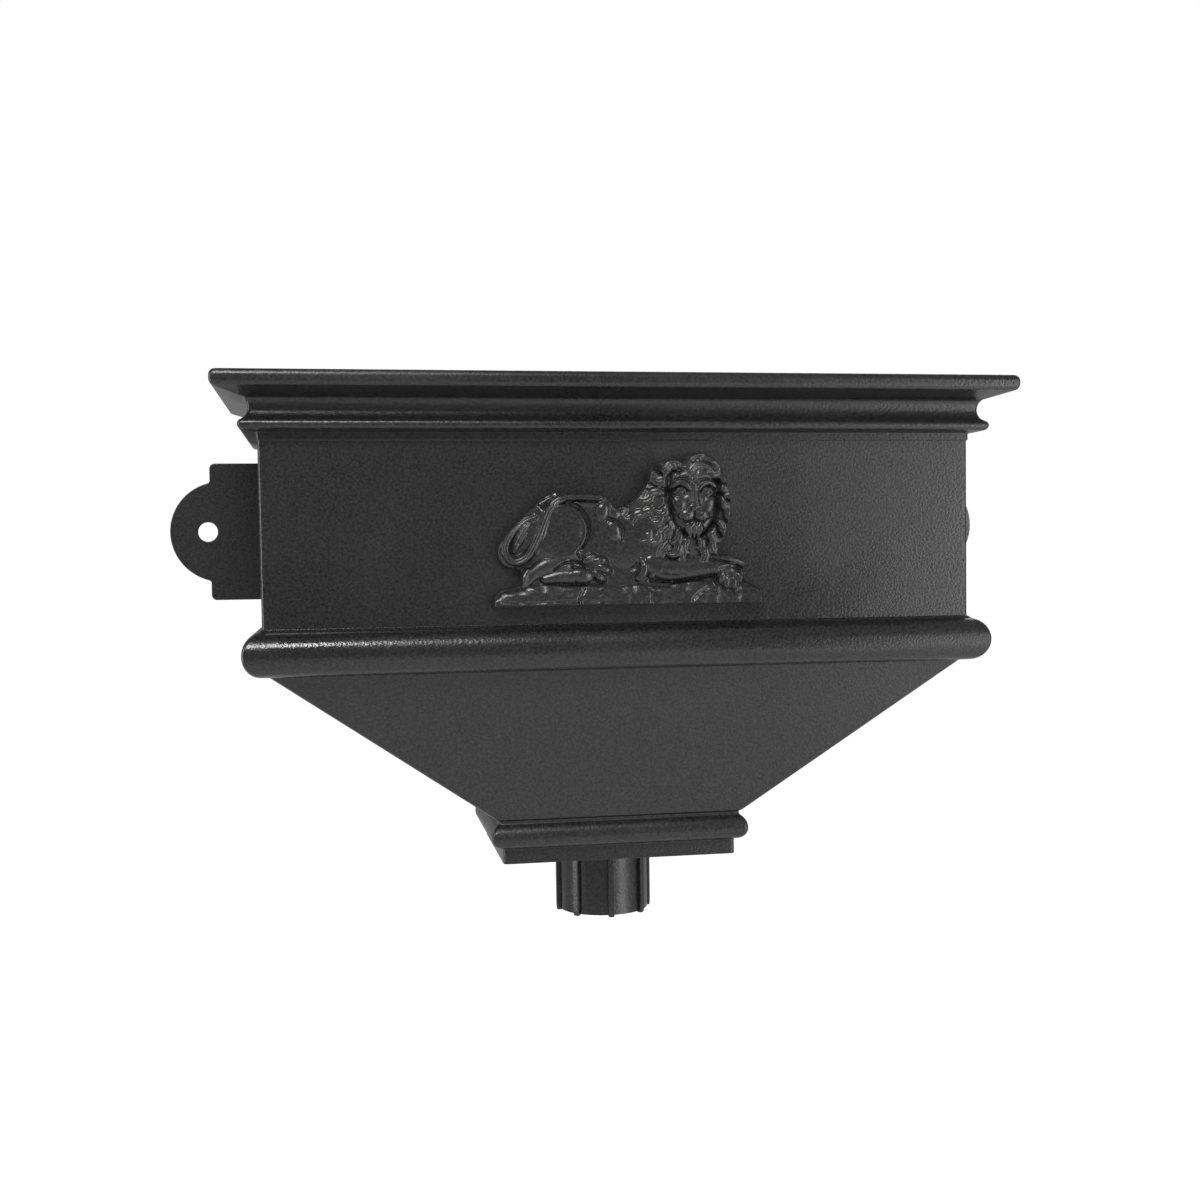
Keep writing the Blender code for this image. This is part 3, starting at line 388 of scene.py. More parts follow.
def rounded_block(half, across, around, squareness):
    """A block with soft edges: cosines and sines of two angles, raised to a small power."""
    tilt = np.radians(np.linspace(-90, 90, across)[:, None])
    turn = np.radians(np.linspace(0, 360, around, endpoint=False)[None, :])
    cos_tilt, sin_tilt, cos_turn, sin_turn = (
        np.sign(wave) * np.abs(wave) ** squareness
        for wave in (np.cos(tilt), np.sin(tilt), np.cos(turn), np.sin(turn)))
    x = half[0] * cos_tilt * cos_turn
    y = half[1] * cos_tilt * sin_turn
    return np.stack([x, y, half[2] * sin_tilt + 0 * x], axis=-1)


rib_half = (RIB_WIDTH / 2, (RIB_HEIGHT + RIB_SINK) / 2, (RIB_TOP_Z - RIB_FOOT_Z) / 2)
rib = rounded_block(rib_half, RIB_ROWS, RIB_STEPS, RIB_SQUARENESS)
rib_points, rib_faces = [], []
for index in range(RIB_COUNT):
    turn = math.tau * index / RIB_COUNT
    x = rib[..., 0]
    y = rib[..., 1] - (SPIGOT_RADIUS - RIB_SINK + rib_half[1])
    placed = np.stack([x * math.cos(turn) - y * math.sin(turn),
                       SPIGOT_Y + x * math.sin(turn) + y * math.cos(turn),
                       rib[..., 2] + (RIB_TOP_Z + RIB_FOOT_Z) / 2], axis=-1)
    rib_faces.append(grid_faces(RIB_ROWS, RIB_STEPS, False, True, index * rib[..., 0].size))
    rib_points.append(placed.reshape(-1, 3))
ribs = mesh_piece("spigot_ribs", np.vstack(rib_points), np.vstack(rib_faces), hopper_plastic,
                  sharp=50)
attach(ribs, "root")
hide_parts("hopper_head")


# Wall lugs: a flat ear on either side, flush with the back, with a round hole for a wall screw.
# They are part of the same moulding. The edges of the ear and the hole are slightly rounded.

LUG_THICKNESS, LUG_HALF_HEIGHT, LUG_ROOT, LUG_TAB = 5.0, 45.5, -1.8, 38.8
EAR_RADIUS, EAR_OFFSET, HOLE_RADIUS, HOLE_OFFSET = 33.5, 31.3, 6.5, 40.5
LUG_CORNER, LUG_FILLET, LUG_EDGE = 3.5, 2.0, 0.7


def lug_edge():
    """Reach and height of the lug's edge: the tab's corner, a hollow fillet and the ear's arc,
    then the same mirrored below."""
    run = LUG_TAB + LUG_FILLET - EAR_OFFSET
    fillet_z = math.sqrt((EAR_RADIUS + LUG_FILLET) ** 2 - run ** 2)
    meet = math.degrees(math.atan2(fillet_z, run))
    corner = (LUG_TAB - LUG_CORNER, LUG_HALF_HEIGHT - LUG_CORNER)
    fillet = (LUG_TAB + LUG_FILLET, fillet_z)
    upper = [[(LUG_ROOT, LUG_HALF_HEIGHT)], arc(corner, (LUG_CORNER, LUG_CORNER), 90, 0, 10)]
    upper += [arc(fillet, (LUG_FILLET, LUG_FILLET), 180, 180 + meet, 10)]
    upper += [arc((EAR_OFFSET, 0), (EAR_RADIUS, EAR_RADIUS), meet, 0, 40)[1:]]
    upper = np.vstack(upper)
    lower = upper[-2::-1] * (1, -1)
    return np.vstack([upper, lower])


def rim_of(line, side):
    """A rounded edge carried round a closed line: a quarter circle out, a flat, and one in."""
    ahead = np.roll(line, -1, axis=0) - np.roll(line, 1, axis=0)
    ahead /= np.linalg.norm(ahead, axis=1)[:, None]
    across = np.column_stack([ahead[:, 1], -ahead[:, 0]])
    turn = np.radians(np.linspace(0, 90, 6))
    inset = LUG_EDGE * (1 - np.sin(turn))
    y = -LUG_EDGE * (1 - np.cos(turn))
    inset = np.concatenate([inset, inset[::-1]])
    y = np.concatenate([y, -LUG_THICKNESS - y[::-1]])
    points = line[None] + across[None] * inset[:, None, None]
    x, z = side * (HALF_WIDTH + points[..., 0]), points[..., 1]
    return np.stack([x, y[:, None] + 0 * x, z], axis=-1)


edge_line = lug_edge()
hole_line = arc((HOLE_OFFSET, 0), (HOLE_RADIUS, HOLE_RADIUS), 0, 360, 48)[:-1]
for side, label in ((-1, "left"), (1, "right")):
    rim, bore = rim_of(edge_line, side), rim_of(hole_line, side)
    points = np.vstack([rim.reshape(-1, 3), bore.reshape(-1, 3)])
    faces = [grid_faces(len(rim), len(edge_line), False, True)]
    faces += [grid_faces(len(bore), len(hole_line), False, True, rim[..., 0].size)]
    lug = mesh_piece("wall_lug_" + label, points, np.vstack(faces), hopper_plastic)
    bm = bmesh.new()
    bm.from_mesh(lug.data)
    for y in (0.0, -LUG_THICKNESS * MM):
        loops = [edge for edge in bm.edges
                 if edge.is_boundary and all(abs(end.co.y - y) < 1e-5 for end in edge.verts)]
        bmesh.ops.triangle_fill(bm, edges=loops, use_beauty=True)
    bmesh.ops.recalc_face_normals(bm, faces=bm.faces)
    bm.to_mesh(lug.data)
    bm.free()
    lug.data.shade_smooth()
    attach(lug, "root")
    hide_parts("hopper_head")


# Lion motif: a lying lion on a ledge of rock, cast in relief from the same black plastic.
# It is a piece of its own, bonded to the plain front of the box, and its flat back leaves a
# fine dark line all round it.

MOTIF_FOOT_Z, MOTIF_FRONT, MOTIF_BACK = -49.0, -146.3, -145.3
MOTIF_RELIEF, MOTIF_STEP, BARE = 14.0 / 17.7, 0.34, -30.0

# In the drawing, u runs right from the middle of the box and v up from the foot of the ledge.
# Each shape gives heights over the sheet, all in millimetres before the relief's own share.


def through(points, steps=6):
    """A smooth line through points: cubics whose slopes come from the neighbouring points."""
    p = np.array(points, float)
    p = np.vstack([2 * p[0] - p[1], p, 2 * p[-1] - p[-2]])
    t = (np.arange(steps) / steps)[None, :, None]
    a, b, c, d = (p[k:len(p) - 3 + k][:, None, :] for k in range(4))
    slope, bend, twist = c - a, 2 * a - 5 * b + 4 * c - d, 3 * b - a - 3 * c + d
    line = b + 0.5 * (slope * t + bend * t ** 2 + twist * t ** 3)
    return np.vstack([line.reshape(-1, 2), p[-2:-1]])


def from_line(u, v, line):
    """Distance to a broken line, and the share of it passed: the nearest of all its stretches."""
    near = np.full(np.shape(u), np.inf)
    along = np.zeros(np.shape(u))
    for index, (a, run) in enumerate(zip(line, np.diff(line, axis=0))):
        t = np.clip(((u - a[0]) * run[0] + (v - a[1]) * run[1]) / (run @ run), 0, 1)
        distance = np.hypot(u - a[0] - t * run[0], v - a[1] - t * run[1])
        along = np.where(distance < near, (index + t) / (len(line) - 1), along)
        near = np.minimum(near, distance)
    return near, along


def by_line(u, v, line, margin):
    """The points within a margin of a line's frame, with their distance and share of the line."""
    low, high = line.min(axis=0) - margin, line.max(axis=0) + margin
    here = (u > low[0]) & (u < high[0]) & (v > low[1]) & (v < high[1])
    near, along = from_line(u[here], v[here], line)
    return here, near, along


def crowned(share, crest, rise):
    """A round back: its crest less the rise times one minus the root of one minus share squared."""
    return crest - rise * (1 - np.sqrt(np.maximum(1 - share ** 2, 0)))


def dome(u, v, centre, radii, crest, rise, turn=0.0):
    """A crowned egg on the sheet, falling off steeply outside its own edge."""
    cos_turn, sin_turn = math.cos(math.radians(turn)), math.sin(math.radians(turn))
    along = (cos_turn * (u - centre[0]) + sin_turn * (v - centre[1])) / radii[0]
    across = (cos_turn * (v - centre[1]) - sin_turn * (u - centre[0])) / radii[1]
    share = np.hypot(along, across)
    return crowned(np.minimum(share, 1), crest, rise) - np.maximum(share - 1, 0) * min(radii) * 3


def rope(u, v, points, radii, crests, rise=None):
    """A crowned bar along a smooth line, its radius and crest read off evenly along it."""
    here, near, along = by_line(u, v, through(points), max(radii) + 2)
    radius = np.interp(along, np.linspace(0, 1, len(radii)), radii)
    crest = np.interp(along, np.linspace(0, 1, len(crests)), crests)
    depth = radius if rise is None else rise
    beyond = np.maximum(near - radius, 0)
    height = np.full(np.shape(u), BARE)
    height[here] = crowned(np.minimum(near / radius, 1), crest, depth) - beyond * 3
    return height


def groove(u, v, points, width, depth):
    """A cut along a smooth line: its depth times a bell of the distance over the width."""
    here, near, _ = by_line(u, v, through(points), 3 * width)
    cut = np.zeros(np.shape(u))
    cut[here] = depth * np.exp(-(near / width) ** 2)
    return cut


def join(a, b, fillet):
    """The higher of two heights, with a fillet where they meet."""
    blend = 0.5 * (a + b + np.sqrt((a - b) ** 2 + fillet ** 2))
    return blend - 0.25 * fillet * np.exp(-((a - b) / fillet) ** 2)


def within(u, v, corners):
    """Whether points lie inside a closed line, by counting the sides that pass to their right."""
    inside = np.zeros(np.shape(u), bool)
    for a, b in zip(corners, np.roll(corners, -1, axis=0)):
        if a[1] != b[1]:
            level = (a[1] > v) != (b[1] > v)
            inside ^= level & (u < (b[0] - a[0]) * (v - a[1]) / (b[1] - a[1]) + a[0])
    return inside


OUTLINE = [
    (-67, 8), (-66, 20), (-69, 22), (-75, 23), (-79.3, 28), (-79.4, 35), (-75.5, 41.5), (-67, 50.3),
    (-55, 61.3), (-48, 66.2), (-42, 67.8), (-30, 66.9), (-18, 66.6), (-12.5, 63), (-9, 57.8),
    (0, 60.3), (5.5, 66), (10, 72), (11.5, 79), (16, 83.2), (22, 86), (28, 86.8), (32.5, 84.8),
    (36, 88.6), (42, 90.8), (48, 90), (53, 86.5), (57, 79.5), (60, 71), (62, 61), (61, 50.5),
    (58.5, 42), (55, 35), (53.5, 29.5), (61, 29), (68.5, 26.6), (70.6, 22), (69, 15), (66, 6)]


def edge_wall(u, v):
    """How high the carving may stand: the root of the distance in from the lion's outline."""
    line = through(OUTLINE, 4)
    near, _ = from_line(u, v, np.vstack([line, line[:1]]))
    return np.where(within(u, v, line), 12, -12) * np.sqrt(near)


def ledge(u, v):
    """The rock that the lion lies on: an uneven rounded top edge, sloped ends and a few cracks.

    Its height is a crest times the root of one less the cube of the share of its edge, with two
    crossed sines for the swell, cut down by a slope at either end and one over the top edge.
    """
    stations = [-84, -78, -66, -50, 20, 45, 70, 80, 82.5]
    edge = np.interp(u, stations, [3, 8.5, 12.5, 14, 13, 16, 14, 9.5, 0.5])
    edge = edge + 0.6 * np.sin(0.21 * u + 0.8 * np.sin(0.09 * u))
    rise = np.clip(v / np.maximum(edge, 0.1), 0, 1)
    body = 8.5 * np.sqrt(np.maximum(1 - rise ** 3, 0))
    long_swell = np.sin(0.31 * u + 0.5 * v + 1.5 * np.sin(0.11 * u))
    cross_swell = np.sin(0.13 * u - 0.6 * v + np.sin(0.37 * u))
    body = body + 0.35 * (long_swell * cross_swell)
    ends = 4 * np.minimum(u + 84, 82.5 - u)
    height = np.minimum(np.minimum(body, ends), np.where(v > edge, 3 * (edge - v), body))
    for crack in ([(-31, 0), (-31.5, 4), (-29, 9)], [(13, 1), (13, 6), (11, 9)],
                  [(38, 2), (42, 6), (47, 9)]):
        height = height - groove(u, v, crack, 0.9, 1.2)
    return height - groove(u, v, [(-78, 2.2), (-58, 1.6), (-40, 2.4), (-20, 1.8)], 0.7, 0.8)


def trunk(u, v):
    """Rump, belly and breast run together over a low sheet, and the folds of the flank."""
    sheet = [(-56, 36), (-30, 40), (0, 40), (30, 44), (40, 40)]
    belly = [(-34, 42), (-10, 39), (14, 42)]
    spine = [(-44, 63.2), (-30, 62.4), (-17, 61.6), (-9.5, 54)]
    height = rope(u, v, sheet, [30, 31, 32, 36, 30], [4.6, 5.0, 5.6, 6, 6], 1.5)
    height = join(height, rope(u, v, belly, [20, 17, 22], [7.6, 7.2, 9.6], 4.5), 2)
    height = join(height, dome(u, v, (16, 50), (18, 26), 10.6, 5, -14), 3)
    height = join(height, rope(u, v, spine, [4.6, 4.6], [7.6, 7.4], 3.4), 1.5)
    height = join(height, dome(u, v, (-16.8, 56), (4.6, 6.6), 9.6, 3.6, -12), 1)
    height = join(height, dome(u, v, (-10.2, 44.2), (4.8, 6.6), 9.4, 3.2, 18), 1)
    height = height - groove(u, v, [(-13.5, 51.5), (-8, 49.4), (-4.6, 45), (-5, 39)], 0.9, 1.5)
    return height - groove(u, v, [(-13, 24), (-6, 21.4), (1, 21), (4, 24)], 1.2, 1.3)


def hind_leg(u, v, height):
    """The haunch, a flat oval with a raised edge, then the hock, the near foot and the far paw.

    The haunch falls by one minus the root of one less its share to the fifth. Its edge fades out
    at the lower left, where it runs into the rump.
    """
    right, above = u + 41.8, v - 44.8
    share = np.hypot(right / (15.9 - 0.06 * above), above / 16)
    edged = np.clip(0.25 + (0.8 * right + 0.6 * above) / 10, 0, 1)
    haunch = 10.4 - 3.8 * edged * (1 - np.sqrt(np.maximum(1 - np.minimum(share, 1) ** 5, 0)))
    haunch = haunch - np.maximum(share - 1, 0) * (10 + 30 * edged)
    haunch = haunch + 0.9 * np.exp(-((share - 0.9) / 0.07) ** 2) * edged
    height = np.maximum(height, haunch)
    crease = [(-43, 61.6), (-34, 60), (-27.5, 54.6), (-24.9, 46), (-27, 37.5), (-32.6, 31)]
    height = height - groove(u, v, crease, 0.8, 2)
    hock = [(-64, 13), (-59, 18.6), (-51, 23.4), (-40, 24.4)]
    height = join(height, rope(u, v, hock, [2.4, 4, 5.6, 5.6], [8.6, 10, 10.8, 10.4]), 0.8)
    crease = [(-47, 20.8), (-42, 24.4), (-36, 25.8), (-31, 24.8), (-26.4, 21.4)]
    height = height - groove(u, v, crease, 0.8, 2.2)
    shank = [(-52, 15.6), (-44, 17), (-36, 17.4)]
    height = join(height, rope(u, v, shank, [2.6, 4, 4.4], [8.4, 9.6, 10.4]), 0.6)
    height = join(height, dome(u, v, (-30.2, 17.6), (7.6, 4.8), 11.4, 4.4, -6), 0.5)
    height = join(height, dome(u, v, (-20.6, 22.6), (7.8, 6.8), 9.6, 3.4, -20), 0.6)
    for toe, turn in (((-25.6, 27.4), 35), ((-19.4, 26.2), 5), ((-17.0, 21.6), -25),
                      ((-20.0, 17.4), -40)):
        height = join(height, dome(u, v, toe, (4.6, 2.5), 11.2, 2.5, turn), 0.4)
        claw = (toe[0] + 4.6 * math.cos(math.radians(turn)),
                toe[1] + 4.6 * math.sin(math.radians(turn)))
        height = height - groove(u, v, [toe, claw], 0.35, 0.4)
    heel = [(-66, 12), (-64.6, 16), (-62.4, 20.4)]
    return join(height, rope(u, v, heel, [1.8, 2.5, 1.6], [9, 10.4, 9]), 0.5)


def tail(u, v, height):
    """The tail along the back, down the rump and round in a loop, with its brush inside."""
    line = [(-18, 63.6), (-28, 64.3), (-38, 64), (-45, 61.6), (-50, 55.5), (-54, 46), (-58.4, 36),
            (-62.6, 29.4), (-68.8, 26.2), (-74, 28.6), (-75.6, 34.5), (-72.6, 41.6), (-68, 47.2),
            (-62.6, 51.4), (-57, 53.4)]
    rim = [(-43, 66.2), (-55, 59.4), (-67, 48.4), (-76, 39), (-78.4, 33), (-77.6, 27.6),
           (-73.6, 24.4), (-68, 23.6)]
    height = join(height, rope(u, v, rim, [1.1, 1.3, 1.5, 1.5, 1], [5.6, 6.2, 6.8, 6.6, 6]), 0.3)
    brush = [(-58.6, 52), (-63, 46.6), (-67.4, 39.6), (-70.4, 32.2)]
    height = join(height, rope(u, v, brush, [1.6, 3.6, 3.9, 1.2], [7.4, 8.6, 8.8, 7]), 0.4)
    for shift in (-1.2, 1.0):
        strand = [(-60 + shift, 49.6), (-64.4 + shift, 43.4), (-68.2 + 0.7 * shift, 37)]
        height = height - groove(u, v, strand, 0.4, 0.7)
    height = height - groove(u, v, line, 3.5, 1.0)
    radii, crests = [1.9, 2.4, 2.4, 2.3, 2.1, 1.5], [8.6, 10.6, 11.2, 9.6, 8.8, 8]
    height = np.maximum(height, rope(u, v, line, radii, crests))
    height = height - groove(u, v, line, 0.42, 0.8)
    second = [(-50.4, 50), (-52.6, 43), (-54.6, 36.8), (-57.4, 30.6)]
    height = join(height, rope(u, v, second, [1.0, 1.5, 1.5, 0.9], [10.6, 10.6, 10, 9]), 0.3)
    return height - groove(u, v, [(-39, 61.9), (-30, 61.9), (-20, 61.2)], 0.6, 1.8)


def foreleg(u, v, height):
    """Two tufts at the elbow, the far foreleg, then the near one with its paw over the ledge."""
    tuft = [(4.4, 15.4), (7.4, 18.6), (8, 23), (6.2, 27)]
    height = join(height, rope(u, v, tuft, [1.8, 2.4, 2.4, 1.4], [9.6, 11, 11, 9]), 0.4)
    tuft = [(12.4, 17), (13.4, 21.6), (12, 26.4)]
    height = join(height, rope(u, v, tuft, [2, 2.6, 1.6], [9, 10.4, 9]), 0.6)
    far = [(30, 25.6), (48, 26), (60, 26), (69, 23.6)]
    height = np.maximum(height, rope(u, v, far, [2.6, 2.8, 2.6, 2], [10.6, 11, 10.8, 9.6]))
    line = [(13, 24.4), (22, 20.6), (36, 20.8), (50, 21.6), (60, 20.4)]
    arm = rope(u, v, line, [6.6, 6.6, 5.6, 4.6, 4.4], [10.6, 12.4, 13, 13, 12.6], 4.6)
    height = np.maximum(height, arm)
    between = [(21, 27.8), (32, 27.6), (42, 26.8), (52, 26), (62, 23.4)]
    height = height - groove(u, v, between, 0.6, 1.5)
    height = height - groove(u, v, [(12, 13.5), (26, 13.4), (38, 14.6), (50, 16.6)], 0.8, 1.8)
    height = height - groove(u, v, [(19, 19.4), (24, 18), (31, 18.4)], 1.6, 0.8)
    height = np.maximum(height, dome(u, v, (61, 14.6), (7.6, 6.6), 12.8, 4.6))
    for toe, turn in (((55.4, 15.4), 70), ((58.4, 12.6), 80), ((62.6, 12.2), 95),
                      ((66.4, 14.6), 115)):
        height = join(height, dome(u, v, toe, (4.0, 2.1), 13.9, 2.4, turn), 0.3)
    return height - groove(u, v, [(54, 20.4), (59, 21.8), (65, 20.6)], 0.7, 1.0)


MANE = [(9, 79), (4, 68), (2, 58), (4, 50), (9, 44), (14, 38), (22, 34), (30, 31), (50, 31),
        (58, 40), (61, 52), (62, 62), (58, 78), (50, 89), (40, 91), (30, 87), (18, 84)]


def mane_locks():
    """Line, width and crest of each lock: rows laid like tiles that turn out from the face.

    The roots of a row lie on an ellipse round the face, half a step on in every other row, and
    two slow sines vary their angles and sizes. Each lock hooks to the left or right in turn.
    """
    locks = []
    rows = ((2.6, 25, 8.4, 3.3, 10.0), (2.25, 22, 8.6, 3.4, 11.0), (1.9, 19, 8.4, 3.5, 12.0))
    rows += ((1.56, 16, 8, 3.4, 13.0), (1.25, 14, 7, 3.0, 14.0))
    for row, (reach, count, length, width, top) in enumerate(rows):
        for index in range(count):
            wobble = math.sin(2.7 * index + 1.9 * row)
            angle = math.tau * (index + 0.5 * (row % 2) + 0.18 * wobble) / count
            out = np.array([math.cos(angle), math.sin(angle)])
            root = np.array([38.5, 60]) + reach * np.array([13.4, 17.6]) * out
            if not within(np.array([root[0]]), np.array([root[1]]), np.array(MANE, float))[0]:
                continue
            flow = out + np.array([-0.12, -0.55])
            flow /= np.linalg.norm(flow)
            curl = 1 if (index + row) % 2 else -1
            side = np.array([-flow[1], flow[0]]) * curl * (1 + 0.3 * wobble)
            size = length * (1 + 0.16 * math.sin(4.1 * index + row))
            shape = ((-0.12, -0.08), (0.22, 0.13), (0.55, 0.17), (0.86, 0.02), (1.0, -0.2),
                     (0.92, -0.34))
            line = [root + size * (a * flow + b * side) for a, b in shape]
            locks.append((line, width * (1 + 0.12 * wobble), top + 0.5 * wobble))
    return locks


def lock(u, v, height, line, width, top):
    """One lock laid over what is there: a crowned bar thinning to a curled tip, with a strand."""
    bar = rope(u, v, line, [0.6 * width, width, width, 0.8 * width, 0.5 * width, 0.3 * width],
               [top, top + 0.5, top, top - 0.8, top - 1.6, top - 2.2], 0.85 * width)
    height = np.where(bar > height, bar, height)
    return height - np.where(bar >= height, groove(u, v, line[1:5], 0.32, 0.55), 0)


def mane(u, v, height):
    """The mane's mass, then its rows of locks from the breast up to the face."""
    mass = dome(u, v, (38, 62), (25, 30), 11.0, 5.5)
    mass = join(mass, dome(u, v, (16, 58), (14, 24), 9.6, 4.5, -18), 2)
    mass = join(mass, dome(u, v, (36, 38), (20, 12), 9.8, 3.6), 2)
    height = join(height, mass, 0.8)
    for line, width, top in mane_locks():
        height = lock(u, v, height, line, width, top)
    return height


def face(u, v, height):
    """The face, turned to the viewer: a hollow round it, brow, eyes, nose, muzzle, mouth, chin."""
    jaw = [(23.5, 77), (23, 67), (24.4, 57), (30, 47), (35, 41.4), (41, 41.4), (47, 45),
           (51.6, 52), (53, 62), (52.4, 72)]
    height = height - groove(u, v, jaw, 1.8, 4.4)
    height = np.maximum(height, dome(u, v, (38, 59.5), (13.6, 19), 14.2, 5.2, 3))
    height = join(height, dome(u, v, (38.4, 75), (12, 5.6), 14.8, 3, 4), 1.2)
    for side in (-1, 1):
        x = 38.0 + 8.0 * side
        cheek = (x + 0.6 * side, 59.4)
        height = join(height, dome(u, v, cheek, (4.4, 6), 14.5, 2.6, -16 * side), 1.2)
        height = height - groove(u, v, [(x - 1.4, 66.8), (x + 1.4, 66.8)], 2.6, 2.4)
        height = join(height, dome(u, v, (x, 66.6), (2.3, 1.8), 13.9, 1.8), 0.15)
        lid = [(x - 3.2 * side, 65.8), (x - 1.4 * side, 68.3), (x + 1.4 * side, 68.4),
               (x + 3.4 * side, 66.4)]
        height = np.maximum(height, rope(u, v, lid, [0.5, 0.8, 0.8, 0.5], [14.2, 14.8, 14.8, 14.2]))
        under = [(x - 2.8 * side, 65.2), (x, 64.2), (x + 3 * side, 65.6)]
        height = np.maximum(height, rope(u, v, under, [0.4, 0.6, 0.4], [13.7, 14.1, 13.7]))
        brow = [(x - 5.2 * side, 68.6), (x - 2.8 * side, 71.4), (x + 1.2 * side, 72.6),
                (x + 5 * side, 70)]
        height = join(height, rope(u, v, brow, [1.4, 1.9, 1.8, 1], [15.8, 16.4, 16, 14.8]), 0.5)
        muzzle = (38 + 4.3 * side, 53.0)
        height = join(height, dome(u, v, muzzle, (5.3, 4.3), 16.6, 3.6, -18 * side), 0.7)
        for dot in ((4.4, 53.8), (6.2, 52.4), (4.6, 51.4)):
            spot = (38 + dot[0] * side, dot[1])
            height = height - groove(u, v, [spot, (spot[0] + 0.3, spot[1])], 0.4, 0.5)
    nose = [(38.3, 73), (38.2, 67), (38, 61), (38, 58.4)]
    height = join(height, rope(u, v, nose, [2.4, 2.3, 3.2, 4], [15.6, 16, 17.1, 17.5], 2.6), 0.7)
    height = join(height, dome(u, v, (38, 57.2), (4.4, 2.6), 17.7, 2.2), 0.4)
    for side in (-1, 1):
        height = height - groove(u, v, [(38 + 1.7 * side, 56), (38 + 3.1 * side, 56.5)], 0.6, 1.8)
        height = height - groove(u, v, [(38 + 2.0 * side, 80), (38 + 1.4 * side, 75.6)], 0.8, 0.7)
    height = height - groove(u, v, [(38, 55), (38, 50.4)], 0.5, 1.3)
    forehead = [(25.5, 73.8), (31, 74.8), (38, 73), (45, 74.6), (50.5, 73)]
    height = height - groove(u, v, forehead, 0.8, 1.2)
    mouth = [(30, 50.2), (33.4, 48.6), (38, 50), (42.6, 48.6), (46, 50.2)]
    height = height - groove(u, v, mouth, 0.7, 1.6)
    for lock_u, lean in ((34.4, 1.0), (41.8, -0.8), (38, 0.2)):
        beard = [(lock_u, 47.4), (lock_u + 0.5 * lean, 44.6), (lock_u + lean, 42),
                 (lock_u + 1.6 * lean, 39.6)]
        height = lock(u, v, height, beard, 2.6, 14.4)
    for crown, width, top in (([(21.6, 79.6), (24, 83.4), (28.6, 83.9), (32.4, 80.6)], 3.4, 13.4),
                              ([(34.2, 81.6), (37.4, 86.6), (44, 87.8), (52, 83.6)], 3.5, 13.2),
                              ([(36.4, 79), (40, 82.6), (46, 82), (51, 77.4)], 2.9, 15)):
        height = lock(u, v, height, [crown[0]] + crown + [crown[-1]], width, top)
    return height


def lion(u, v):
    """Height of the whole carving over its sheet: the lower of the body and its outline's wall,
    or the ledge where that is higher. It is below zero outside the lion and its ledge."""
    body = tail(u, v, hind_leg(u, v, trunk(u, v)))
    body = face(u, v, mane(u, v, foreleg(u, v, body)))
    body = np.minimum(body, edge_wall(u, v))
    return np.where(v < 0, 12 * v, np.maximum(body, ledge(u, v)))


# A paler copy of the hopper's plastic: its lighter deep and bloom colours are painted light,
# standing in for the brighter highlights on the lion.
lion_plastic_painted_lighter = black_plastic("lion_plastic_painted_lighter", (0.005, 0.005, 0.0053), (0.027, 0.027, 0.0282),
                             roughness=0.28, grains=620, pit=0.0004)

u, v = np.meshgrid(np.arange(-85, 84, MOTIF_STEP), np.arange(-1, 93, MOTIF_STEP))
relief = np.stack([u, MOTIF_FRONT - lion(u, v) * MOTIF_RELIEF, MOTIF_FOOT_Z + v], axis=-1)
motif_mesh = bpy.data.meshes.new("lion_relief")
raised = relief[..., 1] < MOTIF_FRONT
faces = grid_faces(*u.shape, False, False)
faces = faces[raised.reshape(-1)[faces].any(axis=1)]
motif_mesh.from_pydata((relief.reshape(-1, 3) * MM).tolist(), [], faces.tolist())
bm = bmesh.new()
bm.from_mesh(motif_mesh)
bmesh.ops.delete(bm, geom=[vertex for vertex in bm.verts if not vertex.link_faces], context="VERTS")
bmesh.ops.bisect_plane(bm, geom=list(bm.verts) + list(bm.edges) + list(bm.faces), dist=2e-6,
                       plane_co=(0, MOTIF_FRONT * MM, 0), plane_no=(0, 1, 0), clear_outer=True)
rim = [edge for edge in bm.edges if edge.is_boundary]
skirt = bmesh.ops.extrude_edge_only(bm, edges=rim)["geom"]
foot = [item for item in skirt if isinstance(item, bmesh.types.BMVert)]
bmesh.ops.translate(bm, verts=foot, vec=(0, (MOTIF_BACK - MOTIF_FRONT) * MM, 0))
open_edges = [item for item in skirt if isinstance(item, bmesh.types.BMEdge) and item.is_boundary]
bmesh.ops.triangle_fill(bm, edges=open_edges, use_beauty=False)
bmesh.ops.recalc_face_normals(bm, faces=bm.faces)
bm.to_mesh(motif_mesh)
bm.free()
motif_mesh.shade_smooth()
motif_mesh.set_sharp_from_angle(angle=math.radians(65))
motif_mesh.materials.append(lion_plastic_painted_lighter)
motif = bpy.data.objects.new("lion_relief", motif_mesh)
bpy.context.scene.collection.objects.link(motif)
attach(motif, "root")
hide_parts("lion_motif")


# Studio: a pale floor well below the part, a white surround and five soft lamps: upper left,
# broad at the right, by the wall at the left, low at the right, and behind. The camera stands
# left of the middle and below the rim.

STUDIO_HALF, STUDIO_FLOOR_Z, STUDIO_GREY = 6.0, -0.9, 0.85
GLOSS_SHARE, SURROUND_FILL = 0.4, 0.15

floor_mesh = bpy.data.meshes.new("studio_floor")
corners = ((-1, -1), (1, -1), (1, 1), (-1, 1))
corners = [(x * STUDIO_HALF, y * STUDIO_HALF, STUDIO_FLOOR_Z) for x, y in corners]
floor_mesh.from_pydata(corners, [], [(0, 1, 2, 3)])
studio_floor = bpy.data.objects.new("studio_floor", floor_mesh)
bpy.context.scene.collection.objects.link(studio_floor)
pale = bpy.data.materials.new("pale_floor")
pale.use_nodes = True
tree = pale.node_tree
shader = tree.nodes["Principled BSDF"]
shader.inputs["Base Color"].default_value = (STUDIO_GREY, STUDIO_GREY, STUDIO_GREY, 1)
shader.inputs["Roughness"].default_value = 0.9
shader.inputs["Emission Color"].default_value = (1, 1, 1, 1)


